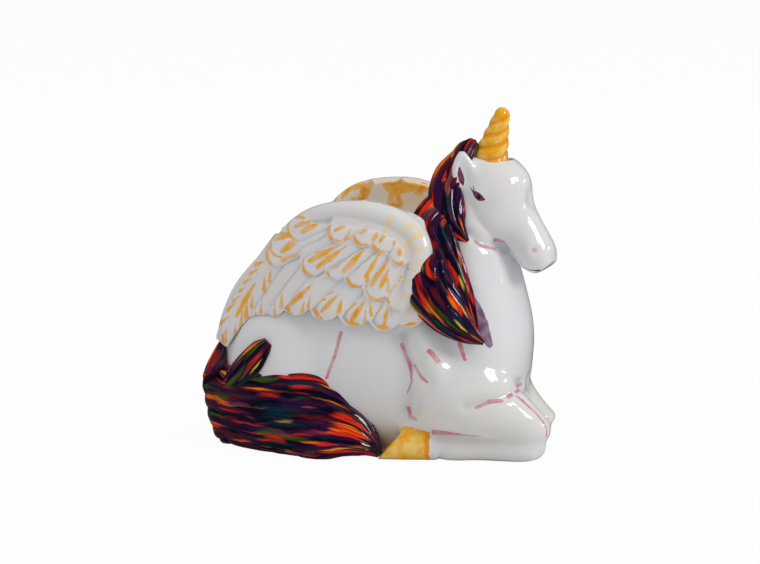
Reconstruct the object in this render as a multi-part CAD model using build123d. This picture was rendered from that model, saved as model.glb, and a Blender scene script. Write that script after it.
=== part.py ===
from build123d import *
import os
from collections import namedtuple
from math import cos, radians, sin, sqrt

# A winged unicorn lying with its forelegs folded under it, in hollow-cast glazed earthenware.
# Each part is cast apart, trimmed to fit the part that carries it and luted on with slip.
# +X points to the nose, +Y to the animal's left and +Z up. The origin is on the flat base.
# Sizes are in millimetres. A name that ends in share or shares holds shares of other sizes.

# Hollow castings
CAST_WALL = 5.0
VENT_RADIUS = 4.5

# Torso
TORSO_LENGTH = 146.0
TORSO_WIDTH = 78.0
TORSO_HEIGHT = 90.0

# Haunches
HAUNCH_LENGTH = 58.0
HAUNCH_WIDTH = 38.0
HAUNCH_HEIGHT = 72.0

# Neck
NECK_DEPTH = 52.0
NECK_WIDTH = 66.0
NECK_HEIGHT = 82.5

# Head, turned a little to the animal's right
HEAD_LENGTH = 49.5
HEAD_WIDTH = 33.0
HEAD_DROP = 52.0
HEAD_TURN_DEG = 6.0

# Horn
HORN_LENGTH = 18.5
HORN_BASE_RADIUS = 8.6
HORN_TIP_RADIUS = 3.6
HORN_LEAN_DEG = 15.0
HORN_FLUTES = 3
HORN_TURNS = 1.4

# Ears
EAR_LENGTH = 17.0
EAR_WIDTH = 11.5
EAR_THICKNESS = 7.0

# Forelegs
FOREARM_THICKNESS = 42.0
CANNON_LENGTH = 49.0
CANNON_THICKNESS = 13.0
KNEE_LAG = 7.0
FETLOCK_SPREAD = 53.0

# Hooves
HOOF_LENGTH = 27.0
HOOF_WIDTH = 18.0
HOOF_HEIGHT = 17.0
HOOF_SOLE_DEG = 52.0
SOLE_DEPTH = 2.5

# Wings
WING_LENGTH = 106.0
WING_HEIGHT = 66.0
WING_STAND = 2.0
FEATHER_RELIEF = 1.5
FEATHER_WIDTH = 14.0
WING_ROLL_RADIUS = 5.5

# Mane
MANE_WIDTH = 24.0
MANE_THICKNESS = 11.0

# Tail
TAIL_HEIGHT = 40.0
TAIL_THICKNESS = 16.0
TAIL_CURL_WIDTH = 11.0

# Room that a cutting block reaches past what it cuts
OVERRUN = 20.0

# A rounded end follows a quarter circle: how far out each ring lies, and how wide it is.
DOME_SHARES = ((0.45, 0.893), (0.8, 0.6), (0.97, 0.243))
STRAND_DEPTH_SHARE = 0.13

X_DIR = Vector(1, 0, 0)
Y_DIR = Vector(0, 1, 0)
Z_DIR = Vector(0, 0, 1)

Ring = namedtuple("Ring", "centre across up half_across half_up")


# Lofting helpers

def oval(ring):
    """Outline of a ring: two half ellipses that start on the ring's across axis."""
    plane = Plane(origin=ring.centre, x_dir=ring.across, z_dir=ring.across.cross(ring.up))
    upper = Edge.make_ellipse(ring.half_across, ring.half_up, plane, 0, 180)
    lower = Edge.make_ellipse(ring.half_across, ring.half_up, plane, 180, 360)
    return Wire([upper, lower])


def lobed(ring, lobes, depth_share, turn_deg=0.0):
    """Outline of a ring with a number of rounded strands round it, one arc for each."""
    def point(step, share):
        angle = radians(turn_deg + step * 360 / lobes)
        along = ring.across * (ring.half_across * cos(angle) * share)
        return ring.centre + along + ring.up * (ring.half_up * sin(angle) * share)

    arcs = []
    for lobe in range(lobes):
        start, end = point(lobe, 1 - depth_share), point(lobe + 1, 1 - depth_share)
        arcs.append(Edge.make_three_point_arc(start, point(lobe + 0.5, 1), end))
    return Wire(arcs)


def shrunk(rings, wall):
    """The rings of the hollow inside, one wall in from the outside, where there is room for one."""
    inner = []
    for ring in rings:
        across, up = ring.half_across - wall, ring.half_up - wall
        if min(across, up) > wall / 2:
            inner.append(ring._replace(half_across=across, half_up=up))
    return inner


def cast(rings):
    """Smooth solid through the outlines of the rings."""
    return Solid.make_loft([oval(ring) for ring in rings])


def spun(start, end, radius, profile_shares):
    """Solid turned about the line from start to end, rounded where its profile meets the line."""
    along = end - start
    aside = along.cross(Y_DIR).normalized()
    points = [start + along * place + aside * (radius * size) for place, size in profile_shares]
    curve = Edge.make_spline(points, tangents=[aside, aside * -1])
    face = Face(Wire([curve, Edge.make_line(points[-1], points[0])]))
    return revolve(face, Axis(start, along), 360)


def rings_between_rails(rails):
    """Rings whose up axis runs from the lower rail to the upper one, and across axis along Y."""
    rings = []
    for upper, lower, half_width in rails:
        up = (upper - lower).normalized()
        rings.append(Ring((upper + lower) / 2, Y_DIR, up, half_width, (upper - lower).length / 2))
    return rings


def rings_on_path(path, outwards, half_widths, half_thicknesses):
    """Rings square to a path, as wide as half_widths along the surface and thick along outwards."""
    rings = []
    for index, centre in enumerate(path):
        before, after = path[max(index - 1, 0)], path[min(index + 1, len(path) - 1)]
        tangent = (after - before).normalized()
        across = outwards[index].cross(tangent).normalized()
        up = tangent.cross(across).normalized()
        rings.append(Ring(centre, across, up, half_widths[index], half_thicknesses[index]))
    return rings


def cut(shape, *tools):
    """The largest solid that is left of a shape when the tools are taken away from it."""
    for tool in tools:
        shape = largest(shape - tool)
    return shape


def largest(shape):
    return max(shape.solids(), key=lambda solid: solid.volume)


def mirrored(shape):
    """The same casting for the animal's other side."""
    return mirror(shape, about=Plane.XZ)


def ellipsoid(centre, half_x, half_y, half_z):
    """Ellipsoid about a centre with its axes along the frame's."""
    return Pos(*centre) * scale(Sphere(half_x), by=(1, half_y / half_x, half_z / half_x))


ground = Pos(0, 0, -TORSO_HEIGHT) * Box(
    2 * TORSO_LENGTH, 4 * TORSO_WIDTH, 2 * TORSO_HEIGHT
)


# Torso: barrel and rump, hollow, with a vent in the flat base.
# Each row is the place along the length, the back, the underside and the half width.
TORSO_SHARES = (
    (-0.479, 0.53, 0.18, 0.13),
    (-0.452, 0.66, 0.07, 0.26),
    (-0.390, 0.79, -0.02, 0.37),
    (-0.274, 0.91, -0.07, 0.45),
    (-0.103, 0.98, -0.09, 0.49),
    (0.068, 1.00, -0.09, 0.50),
    (0.240, 0.96, -0.09, 0.47),
    (0.356, 0.91, -0.03, 0.41),
    (0.420, 0.82, 0.08, 0.32),
    (0.458, 0.71, 0.22, 0.21),
    (0.475, 0.63, 0.33, 0.12),
)


def torso_point(along, aside, high):
    """A point given in shares of the torso's length, width and height."""
    return Vector(along * TORSO_LENGTH, aside * TORSO_WIDTH, high * TORSO_HEIGHT)


def torso_rings():
    rails = []
    for along, back, under, half in TORSO_SHARES:
        rails.append((torso_point(along, 0, back), torso_point(along, 0, under), half * TORSO_WIDTH))
    return rings_between_rails(rails)


torso = cast(torso_rings())
floor_slab = Pos(0, 0, CAST_WALL - TORSO_HEIGHT) * Box(
    2 * TORSO_LENGTH, 4 * TORSO_WIDTH, 2 * TORSO_HEIGHT
)
torso_hollow = cut(cast(shrunk(torso_rings()[1:-1], CAST_WALL)), floor_slab)
VENT_PLACE_SHARE = -0.12
vent = Pos(VENT_PLACE_SHARE * TORSO_LENGTH, 0, 0) * Cylinder(VENT_RADIUS, 2 * (CAST_WALL + OVERRUN))

# Haunches: the folded hind thighs, one each side of the rump.
HAUNCH_PLACE_SHARES = (-0.226, -0.30, 0.38)
haunch_centre = torso_point(*HAUNCH_PLACE_SHARES)
haunch = ellipsoid(haunch_centre, HAUNCH_LENGTH / 2, HAUNCH_WIDTH / 2, HAUNCH_HEIGHT / 2)

# Neck and breast: a tapering hollow casting that leans back from the breast and up to the poll.
# Each row is the front and the back of the neck, forward and up from its root, and the half width.
NECK_ROOT_SHARES = (0.151, 0.533)
NECK_SHARES = (
    (0.88, -0.34, 0.15, -0.26, 0.38),
    (0.96, -0.17, 0.05, -0.07, 0.46),
    (0.985, 0.00, 0.01, 0.14, 0.49),
    (0.985, 0.14, 0.01, 0.37, 0.46),
    (0.945, 0.298, 0.08, 0.56, 0.40),
    (0.87, 0.44, 0.19, 0.715, 0.326),
    (0.79, 0.56, 0.27, 0.845, 0.273),
    (0.70, 0.69, 0.365, 0.964, 0.235),
)


def neck_point(forward, aside, rise):
    """A point given in shares of the neck's depth, width and height, from its root."""
    x = NECK_ROOT_SHARES[0] * TORSO_LENGTH + forward * NECK_DEPTH
    z = NECK_ROOT_SHARES[1] * TORSO_HEIGHT + rise * NECK_HEIGHT
    return Vector(x, aside * NECK_WIDTH, z)


def neck_rings():
    rails = []
    for front_x, front_z, back_x, back_z, half in NECK_SHARES:
        front, back = neck_point(front_x, 0, front_z), neck_point(back_x, 0, back_z)
        rails.append((back, front, half * NECK_WIDTH))
    return rings_between_rails(rails)


neck = cast(neck_rings())
neck_hollow = cast(shrunk(neck_rings(), CAST_WALL))
HEAD_ROOT = neck_rings()[-1].centre

# Head: poll, cheeks and muzzle in one hollow casting.
# Each row is a point of the face line and of the jaw line, and the half width there.
HEAD_SHARES = (
    (-0.067, 0.384, -0.24, -0.063, 0.30),
    (0.106, 0.400, -0.163, -0.259, 0.455),
    (0.279, 0.320, -0.02, -0.375, 0.50),
    (0.413, 0.179, 0.135, -0.42, 0.455),
    (0.480, 0.000, 0.26, -0.455, 0.348),
    (0.577, -0.205, 0.346, -0.540, 0.297),
    (0.683, -0.372, 0.423, -0.612, 0.309),
    (0.740, -0.478, 0.51, -0.652, 0.258),
    (0.733, -0.553, 0.596, -0.637, 0.15),
)


def head_point(forward, aside, rise):
    """A point given in shares of the head's length, width and drop, from where it joins the neck."""
    return HEAD_ROOT + Vector(forward * HEAD_LENGTH, aside * HEAD_WIDTH, rise * HEAD_DROP)


def turned(shape):
    """A piece of the head, turned with it about the upright through the top of the neck."""
    return shape.rotate(Axis(HEAD_ROOT, Z_DIR), -HEAD_TURN_DEG)


def head_rings():
    rails = []
    for face_x, face_z, jaw_x, jaw_z, half in HEAD_SHARES:
        face, jaw = head_point(face_x, 0, face_z), head_point(jaw_x, 0, jaw_z)
        rails.append((face, jaw, half * HEAD_WIDTH))
    return rings_between_rails(rails)


head = turned(cast(head_rings()))
head_hollow = turned(cast(shrunk(head_rings()[1:], CAST_WALL)))

# Horn: a blunt cone with flutes that wind up it.
HORN_SEAT_SHARES = (0.10, 0.33)
HORN_ROOT_SHARE = 0.3
HORN_STEPS = 14


def horn_rings():
    lean = radians(HORN_LEAN_DEG)
    axis = Vector(sin(lean), 0, cos(lean))
    ahead = Vector(cos(lean), 0, -sin(lean))
    seat = head_point(HORN_SEAT_SHARES[0], 0, HORN_SEAT_SHARES[1])
    rings = []
    for step in range(HORN_STEPS + 1):
        share = step / HORN_STEPS
        radius = HORN_BASE_RADIUS + (HORN_TIP_RADIUS - HORN_BASE_RADIUS) * share
        height = HORN_LENGTH * ((1 + HORN_ROOT_SHARE) * share - HORN_ROOT_SHARE)
        rings.append(Ring(seat + axis * height, ahead, Y_DIR, radius, radius))
    for out, size in DOME_SHARES:
        centre = seat + axis * (HORN_LENGTH + HORN_TIP_RADIUS * out)
        rings.append(Ring(centre, ahead, Y_DIR, HORN_TIP_RADIUS * size, HORN_TIP_RADIUS * size))
    return rings


def horn_solid():
    outlines = []
    for step, ring in enumerate(horn_rings()):
        turn = 360 * HORN_TURNS * min(step, HORN_STEPS) / HORN_STEPS
        outlines.append(lobed(ring, HORN_FLUTES, STRAND_DEPTH_SHARE, turn))
    return Solid.make_loft(outlines)


horn = turned(horn_solid())

# Ears: leaf-shaped, scooped out in front.
EAR_ROOT_SHARES = (-0.02, -0.41, 0.068)
EAR_TIP_SHARES = (-0.065, -0.44, 0.395)
EAR_FACING_SHARE = 0.4
SCOOP_SHARES = (0.62, 0.6, 0.45)
EAR_SIZE_SHARES = ((0.0, 0.7), (0.3, 1.0), (0.6, 0.9), (0.82, 0.6), (1.0, 0.2))


def ear_solid(width, thickness, lift):
    """Leaf-shaped blade of an ear, moved out from the middle of the ear by a lift."""
    root, tip = head_point(*EAR_ROOT_SHARES), head_point(*EAR_TIP_SHARES)
    axis = (tip - root).normalized()
    outward = (X_DIR * EAR_FACING_SHARE - Y_DIR).normalized()
    path = [root + axis * (EAR_LENGTH * along) + outward * lift for along, _ in EAR_SIZE_SHARES]
    widths = [width / 2 * size for _, size in EAR_SIZE_SHARES]
    thicknesses = [thickness / 2 * size for _, size in EAR_SIZE_SHARES]
    return cast(rings_on_path(path, [outward] * len(path), widths, thicknesses))


ear_scoop = ear_solid(
    EAR_WIDTH * SCOOP_SHARES[0], EAR_THICKNESS * SCOOP_SHARES[1], EAR_THICKNESS * SCOOP_SHARES[2]
)
ear = cut(ear_solid(EAR_WIDTH, EAR_THICKNESS, 0), ear_scoop)
right_ear, left_ear = turned(ear), turned(mirrored(ear))

# Hooves: flared from the coronet to a slanted sole, which is hollowed out.
HOOF_SHARES = ((0.0, 0.74, 0.74), (0.5, 0.95, 0.97), (1.0, 1.0, 1.0))
LYING_SHARE = 0.44
SOLE_PLACE_SHARE = 0.58
SOLE_SHARES = (0.36, 0.30)


def hoof_solid(coronet, ahead):
    """Hoof that runs ahead from the coronet, with its sole slanted up and away."""
    path, widths, heights = [], [], []
    for along, wide, high in HOOF_SHARES:
        centre = Vector(coronet.X, coronet.Y, HOOF_HEIGHT * high * LYING_SHARE)
        path.append(centre + ahead * (HOOF_LENGTH * along))
        widths.append(HOOF_WIDTH / 2 * wide)
        heights.append(HOOF_HEIGHT / 2 * high)
    rings = rings_on_path(path, [Z_DIR] * len(path), widths, heights)
    toe = Vector(coronet.X, coronet.Y, 0) + ahead * HOOF_LENGTH
    slant = radians(HOOF_SOLE_DEG)
    normal = ahead * sin(slant) + Z_DIR * cos(slant)
    rising = Z_DIR * sin(slant) - ahead * cos(slant)
    sole = Plane(origin=toe, x_dir=rising, z_dir=normal)
    block = sole * Pos(0, 0, HOOF_HEIGHT) * Box(4 * HOOF_HEIGHT, 4 * HOOF_WIDTH, 2 * HOOF_HEIGHT)
    middle = Vector(SOLE_PLACE_SHARE * HOOF_HEIGHT, 0, 0)
    recess = sole * ellipsoid(middle, SOLE_SHARES[0] * HOOF_HEIGHT, SOLE_SHARES[1] * HOOF_WIDTH, SOLE_DEPTH)
    return cut(cast(rings), block, recess)


# Forelegs: shoulder and forearm run forward to the knee, and the cannon lies back on the ground.
SHOULDER_SHARES = (0.123, 0.282, 0.522)
KNEE_SHARES = (0.595, 0.195, 0.11)
FOREARM_PROFILE_SHARES = (
    (0.0, 0.0), (0.012, 0.28), (0.05, 0.55), (0.11, 0.77), (0.2, 0.93), (0.32, 1.0), (0.48, 0.95),
    (0.64, 0.77), (0.77, 0.56), (0.87, 0.43), (0.935, 0.35), (0.975, 0.24), (0.993, 0.12), (1.0, 0.0),
)
CANNON_PROFILE_SHARES = (
    (0.0, 0.0), (0.01, 0.36), (0.04, 0.68), (0.1, 0.93), (0.2, 1.0), (0.4, 0.95), (0.6, 0.93),
    (0.8, 0.97), (0.9, 0.85), (0.96, 0.6), (0.99, 0.3), (1.0, 0.0),
)
PASTERN_SHARE = 0.6


def lying(point):
    """The same place on the ground plan, at the height of a cannon that lies on the ground."""
    return Vector(point.X, point.Y, CANNON_THICKNESS * LYING_SHARE)


def cannon_and_hoof(joint, fetlock):
    """Cannon along the ground from its upper joint to the fetlock, and the hoof it runs into."""
    ahead = (fetlock - joint).normalized()
    into_hoof = fetlock + ahead * (CANNON_THICKNESS * PASTERN_SHARE)
    return spun(joint, into_hoof, CANNON_THICKNESS / 2, CANNON_PROFILE_SHARES), hoof_solid(fetlock, ahead)


def foreleg(side, lag):
    """Forearm, cannon and hoof of one side: 1 is the animal's left and -1 its right."""
    along, aside, high = SHOULDER_SHARES
    shoulder = torso_point(along, aside * side, high) - X_DIR * lag
    along, aside, high = KNEE_SHARES
    knee = torso_point(along, aside * side, high) - X_DIR * lag
    spread = side * FETLOCK_SPREAD / 2
    back = sqrt(CANNON_LENGTH ** 2 - (spread - knee.Y) ** 2)
    forearm = spun(shoulder, knee, FOREARM_THICKNESS / 2, FOREARM_PROFILE_SHARES)
    return forearm, *cannon_and_hoof(lying(knee), lying(Vector(knee.X - back, spread, 0)))


right_forearm, right_cannon, right_fore_hoof = foreleg(-1, 0)
left_forearm, left_cannon, left_fore_hoof = foreleg(1, KNEE_LAG)

# The far hind leg: its cannon lies forward on the ground from the haunch.
# The near one is under the tail and isn't seen.
HOCK_SHARES = (-0.34, 0.44, 0)
HIND_FETLOCK_SHARES = (-0.137, 0.50, 0)
hind_cannon, hind_hoof = cannon_and_hoof(
    lying(torso_point(*HOCK_SHARES)), lying(torso_point(*HIND_FETLOCK_SHARES))
)

# Wings: three layers of feathers on a domed plate, with a thick rolled leading edge.
# Points are shares of the wing's length and height, forward and up from its rear tip.
WING_REAR_SHARE = -0.466
WING_FOOT_SHARE = 0.533
WING_DOME_SHARES = (0.56, 0.556, 0.98)
VALLEY_SHARES = (
    (-0.60, 1.65, 0.60, 0.36), (-0.30, 1.68, 0.70, 0.345), (0.0, 1.70, 0.75, 0.31),
    (0.25, 1.70, 0.75, 0.30), (0.45, 1.70, 0.75, 0.30),
)
WING_EDGE_SHARES = (
    (0.019, 0.058), (0.085, 0.350), (0.195, 0.560), (0.335, 0.765), (0.46, 0.905), (0.63, 0.99),
    (0.813, 0.964), (0.929, 0.9), (0.99, 0.754), (1.0, 0.623), (0.96, 0.406), (0.93, 0.28),
)
WING_LOWER_SHARES = ((0.78, 0.29), (0.54, 0.32), (0.30, 0.35), (0.15, 0.20))
WING_LAYERS = (
    (
        ((0.05, 0.04), (0.34, 0.70)), ((0.144, 0.12), (0.42, 0.70)), ((0.24, 0.20), (0.50, 0.70)),
        ((0.365, 0.24), (0.59, 0.70)), ((0.51, 0.215), (0.67, 0.67)), ((0.654, 0.18), (0.75, 0.65)),
        ((0.80, 0.16), (0.83, 0.62)), ((0.915, 0.19), (0.90, 0.60)),
    ),
    (
        ((0.27, 0.59), (0.58, 0.92)), ((0.45, 0.54), (0.65, 0.90)), ((0.565, 0.52), (0.72, 0.87)),
        ((0.66, 0.47), (0.77, 0.83)), ((0.76, 0.38), (0.83, 0.76)), ((0.865, 0.32), (0.90, 0.70)),
    ),
    (
        ((0.56, 0.78), (0.72, 0.95)), ((0.68, 0.75), (0.79, 0.93)), ((0.77, 0.70), (0.84, 0.90)),
        ((0.86, 0.62), (0.90, 0.83)),
    ),
)
LAYER_WIDTH_SHARES = (1.0, 0.86, 0.8)
ROLL_SUNK_SHARE = 0.2
WING_ROLL_SHARES = (
    (0.26, 0.66, 0.2), (0.36, 0.79, 0.5), (0.47, 0.89, 0.75), (0.63, 0.935, 0.9), (0.78, 0.91, 1.0),
    (0.87, 0.85, 1.0), (0.93, 0.75, 1.0), (0.945, 0.63, 1.0), (0.93, 0.51, 0.9), (0.905, 0.40, 0.6),
    (0.88, 0.30, 0.2),
)


def wing_point(along, rise):
    x = WING_REAR_SHARE * TORSO_LENGTH + along * WING_LENGTH
    z = WING_FOOT_SHARE * TORSO_HEIGHT + rise * WING_HEIGHT
    return Vector(x, 0, z)


def dome_sizes(layer):
    grow = FEATHER_RELIEF * layer
    half_y = TORSO_WIDTH / 2 + WING_STAND + grow
    return WING_DOME_SHARES[0] * TORSO_LENGTH + grow, half_y, WING_DOME_SHARES[2] * TORSO_HEIGHT + grow


def dome_centre():
    return Vector(0, 0, WING_DOME_SHARES[1] * TORSO_HEIGHT)


def on_dome(point, layer):
    """The point of a layer's dome straight out to the animal's right of a point in the middle plane."""
    half_x, half_y, half_z = dome_sizes(layer)
    away = point - dome_centre()
    room = 1 - (away.X / half_x) ** 2 - (away.Z / half_z) ** 2
    return Vector(point.X, -half_y * sqrt(max(room, 0)), point.Z)


def prism(face):
    return extrude(face, amount=TORSO_WIDTH, dir=(0, -1, 0))


def plate_face():
    edge = [wing_point(*share) for share in WING_EDGE_SHARES]
    lower = [wing_point(*share) for share in WING_LOWER_SHARES]
    top = Edge.make_spline(edge)
    rest = Wire.make_polygon([edge[-1]] + lower + [edge[0]], close=False)
    return Face(Wire([top] + rest.edges()))


def feather_face(tip_share, root_share, width):
    """Feather with straight sides and a round tip, seen from the side."""
    tip, root = wing_point(*tip_share), wing_point(*root_share)
    along = (tip - root).normalized()
    aside = along.cross(Y_DIR) * (width / 2)
    end = tip - along * (width / 2)
    sides = [end + aside, root + aside, root - aside, end - aside]
    edges = [Edge.make_line(a, b) for a, b in zip(sides, sides[1:])]
    return Face(Wire(edges + [Edge.make_three_point_arc(end - aside, tip, end + aside)]))


def wing_solid():
    whole = None
    for layer, feathers in enumerate(WING_LAYERS):
        width = FEATHER_WIDTH * LAYER_WIDTH_SHARES[layer]
        faces = [feather_face(tip, root, width) for tip, root in feathers]
        if layer == 0:
            faces.append(plate_face())
        outline = faces[0].fuse(*faces[1:])
        dome = ellipsoid(dome_centre(), *dome_sizes(layer))
        sheet = prism(outline) & dome
        whole = sheet if whole is None else whole + sheet
    return whole


def wing_roll():
    path, sizes = [], []
    for along, rise, size in WING_ROLL_SHARES:
        path.append(on_dome(wing_point(along, rise), 0) + Y_DIR * (WING_ROLL_RADIUS * size * ROLL_SUNK_SHARE))
        sizes.append(WING_ROLL_RADIUS * size)
    rings = rings_on_path(path, [Y_DIR * -1] * len(path), sizes, sizes)
    return cast(rings)


wing_plain = wing_solid()
roll = wing_roll()
valley = cast(rings_between_rails([
    (torso_point(along, 0, top), torso_point(along, 0, bottom), half * TORSO_WIDTH)
    for along, top, bottom, half in VALLEY_SHARES
]))

# Tail: sweeps round the right haunch and lies along the ground, ribbed by its strands.
# Each row is a point in shares of the torso's length, width and height, then the half sizes.
TAIL_SHARES = (
    (-0.428, -0.064, 0.49, 0.175, 0.31),
    (-0.457, -0.167, 0.40, 0.275, 0.41),
    (-0.450, -0.320, 0.285, 0.39, 0.47),
    (-0.382, -0.442, 0.215, 0.45, 0.47),
    (-0.260, -0.506, 0.205, 0.475, 0.44),
    (-0.123, -0.513, 0.195, 0.49, 0.41),
    (-0.007, -0.494, 0.145, 0.375, 0.34),
    (0.062, -0.468, 0.08, 0.20, 0.25),
    (0.099, -0.449, 0.02, 0.06, 0.12),
)
TAIL_LOBES = 12


def tail_rings():
    path, outwards, widths, thicknesses = [], [], [], []
    for along, aside, high, wide, thick in TAIL_SHARES:
        point = torso_point(along, aside, high)
        away = point - haunch_centre
        path.append(point)
        outwards.append(Vector(away.X, away.Y, 0).normalized())
        widths.append(wide * TAIL_HEIGHT)
        thicknesses.append(thick * TAIL_THICKNESS)
    return rings_on_path(path, outwards, widths, thicknesses)


def stranded(rings, lobes):
    return Solid.make_loft([lobed(ring, lobes, STRAND_DEPTH_SHARE) for ring in rings])


tail = stranded(tail_rings(), TAIL_LOBES)

# Mane: a crest down the back of the neck and three locks that fall to the right of it.
# Each row is a point in shares of the neck's depth, width and height, then the half sizes.
CREST_SHARES = (
    (0.537, -0.03, 1.091, 0.2, 0.3),
    (0.45, -0.06, 1.05, 0.34, 0.48),
    (0.36, -0.09, 0.95, 0.45, 0.55),
    (0.26, -0.13, 0.80, 0.48, 0.55),
    (0.18, -0.17, 0.65, 0.45, 0.5),
    (0.12, -0.21, 0.52, 0.36, 0.4),
    (0.10, -0.25, 0.41, 0.2, 0.25),
)
UPPER_LOCK_SHARES = (
    (0.345, -0.09, 1.05, 0.18, 0.3),
    (0.293, -0.17, 0.93, 0.26, 0.4),
    (0.32, -0.245, 0.81, 0.34, 0.42),
    (0.40, -0.30, 0.69, 0.29, 0.36),
    (0.54, -0.31, 0.60, 0.08, 0.14),
)
MIDDLE_LOCK_SHARES = (
    (0.33, -0.13, 0.83, 0.28, 0.34),
    (0.23, -0.33, 0.69, 0.40, 0.45),
    (0.32, -0.40, 0.55, 0.42, 0.45),
    (0.45, -0.445, 0.41, 0.36, 0.42),
    (0.58, -0.47, 0.27, 0.24, 0.34),
    (0.69, -0.47, 0.15, 0.08, 0.14),
)
LOWER_LOCK_SHARES = (
    (0.30, -0.24, 0.63, 0.28, 0.34),
    (0.20, -0.44, 0.51, 0.45, 0.52),
    (0.27, -0.515, 0.39, 0.50, 0.58),
    (0.42, -0.55, 0.27, 0.45, 0.54),
    (0.595, -0.54, 0.163, 0.28, 0.36),
    (0.76, -0.50, 0.09, 0.08, 0.14),
)
LOCK_LOBES = 10


def lock_solid(shares, outward):
    path = [neck_point(forward, aside, rise) for forward, aside, rise, _, _ in shares]
    widths = [wide * MANE_WIDTH for _, _, _, wide, _ in shares]
    thicknesses = [thick * MANE_THICKNESS for _, _, _, _, thick in shares]
    rings = rings_on_path(path, [outward] * len(path), widths, thicknesses)
    return stranded(rings, LOCK_LOBES)


crest = lock_solid(CREST_SHARES, Vector(-0.8, -0.3, 0.5).normalized())
upper_lock = lock_solid(UPPER_LOCK_SHARES, Y_DIR * -1)
middle_lock = lock_solid(MIDDLE_LOCK_SHARES, Y_DIR * -1)
lower_lock = lock_solid(LOWER_LOCK_SHARES, Y_DIR * -1)

# Curl: the loose end of hair that flicks up from the tail on the haunch.
CURL_SHARES = (
    (-0.40, -0.46, 0.30, 0.30, 0.30),
    (-0.35, -0.50, 0.37, 0.50, 0.42),
    (-0.305, -0.52, 0.45, 0.50, 0.40),
    (-0.272, -0.52, 0.515, 0.36, 0.30),
    (-0.245, -0.52, 0.565, 0.10, 0.10),
)
CURL_LOBES = 8


def curl_solid():
    path = [torso_point(along, aside, high) for along, aside, high, _, _ in CURL_SHARES]
    widths = [wide * TAIL_CURL_WIDTH for _, _, _, wide, _ in CURL_SHARES]
    thicknesses = [thick * TAIL_CURL_WIDTH for _, _, _, _, thick in CURL_SHARES]
    return stranded(rings_on_path(path, [Y_DIR * -1] * len(path), widths, thicknesses), CURL_LOBES)


curl = curl_solid()

# Fitting: every casting is cut to the ones it is luted to, and those on the ground cut flat.
left_haunch = mirrored(haunch)
wing = cut(wing_plain, torso, haunch, neck, valley) + cut(roll, torso, neck)

PIECES = {
    "body_shell": cut(torso, ground, torso_hollow, neck_hollow, vent),
    "neck_shell": cut(neck, torso, neck_hollow),
    "head_shell": cut(head, neck, head_hollow),
    "horn": cut(horn, head),
    "right_ear": cut(right_ear, head, neck),
    "left_ear": cut(left_ear, head, neck),
    "right_haunch": cut(haunch, torso, ground),
    "left_haunch": cut(left_haunch, torso, ground),
    "right_forearm": cut(right_forearm, torso, neck, ground),
    "left_forearm": cut(left_forearm, torso, neck, ground),
    "right_cannon": cut(right_cannon, right_forearm, torso, right_fore_hoof, ground),
    "left_cannon": cut(left_cannon, left_forearm, torso, left_fore_hoof, ground),
    "right_fore_hoof": cut(right_fore_hoof, torso, right_forearm, ground),
    "left_fore_hoof": cut(left_fore_hoof, torso, left_forearm, ground),
    "left_hind_cannon": cut(hind_cannon, torso, left_haunch, hind_hoof, ground),
    "left_hind_hoof": cut(hind_hoof, torso, left_haunch, ground),
    "right_wing": wing,
    "left_wing": mirrored(wing),
    "tail": cut(tail, torso, haunch, ground),
    "tail_curl": cut(curl, tail, torso, haunch),
    "mane_crest": cut(crest, head, neck, torso, wing, right_ear, horn),
    "mane_upper_lock": cut(upper_lock, head, neck, crest, right_ear),
    "mane_middle_lock": cut(middle_lock, head, neck, crest, upper_lock, wing),
    "mane_lower_lock": cut(lower_lock, neck, torso, crest, middle_lock, wing, right_forearm),
}

os.makedirs("parts", exist_ok=True)
for name, piece in PIECES.items():
    export_step(piece, f"parts/{name}.step")
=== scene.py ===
import math

import bmesh
import bpy
import numpy as np
from mathutils import Matrix, Vector
from mathutils.bvhtree import BVHTree


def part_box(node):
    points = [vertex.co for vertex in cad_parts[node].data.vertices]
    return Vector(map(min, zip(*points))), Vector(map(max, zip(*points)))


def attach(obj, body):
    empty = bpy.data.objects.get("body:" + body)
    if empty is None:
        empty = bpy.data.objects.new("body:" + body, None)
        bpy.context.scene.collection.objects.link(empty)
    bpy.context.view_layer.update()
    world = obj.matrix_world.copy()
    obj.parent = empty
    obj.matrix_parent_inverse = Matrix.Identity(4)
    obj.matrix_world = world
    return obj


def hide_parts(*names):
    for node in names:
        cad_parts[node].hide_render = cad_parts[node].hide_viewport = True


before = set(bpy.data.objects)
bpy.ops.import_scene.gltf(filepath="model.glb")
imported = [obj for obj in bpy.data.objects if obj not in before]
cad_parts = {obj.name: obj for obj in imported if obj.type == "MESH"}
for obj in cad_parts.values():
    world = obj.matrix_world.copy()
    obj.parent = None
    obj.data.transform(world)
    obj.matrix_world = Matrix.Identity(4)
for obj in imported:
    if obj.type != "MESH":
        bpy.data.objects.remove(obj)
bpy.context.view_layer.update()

# White castings
# Barrel, neck, head, ears, haunches and legs are slip-cast earthenware. They are luted together with
# slip while damp and sponged, so that one soft skin runs over the joints under a clear glaze.
MM = 0.001
SKIN_GRAIN = 0.58
CLAY_PASSES = 8
JOINT_PASSES = 110
JOINT_CORE, JOINT_REACH = 2.0, 15.0
FIRM_FOOT = (1.0, 16.0)
EAR_CORE, EAR_REACH, EAR_EASE = 1.0, 6.0, 0.5
THROAT_FRONT, THROAT_EASE = 46.0, 0.25
VENT_PLACE = (-17.5, 0.0)
VENT_RADIUS = 4.5
VENT_DEPTH = 5.0
WHITE_CASTINGS = (
    "body_shell", "neck_shell", "head_shell", "right_haunch", "left_haunch", "right_forearm",
    "left_forearm", "right_cannon", "left_cannon", "left_hind_cannon", "right_ear", "left_ear",
)
NECK = WHITE_CASTINGS.index("neck_shell")
HEAD = WHITE_CASTINGS.index("head_shell")
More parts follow.
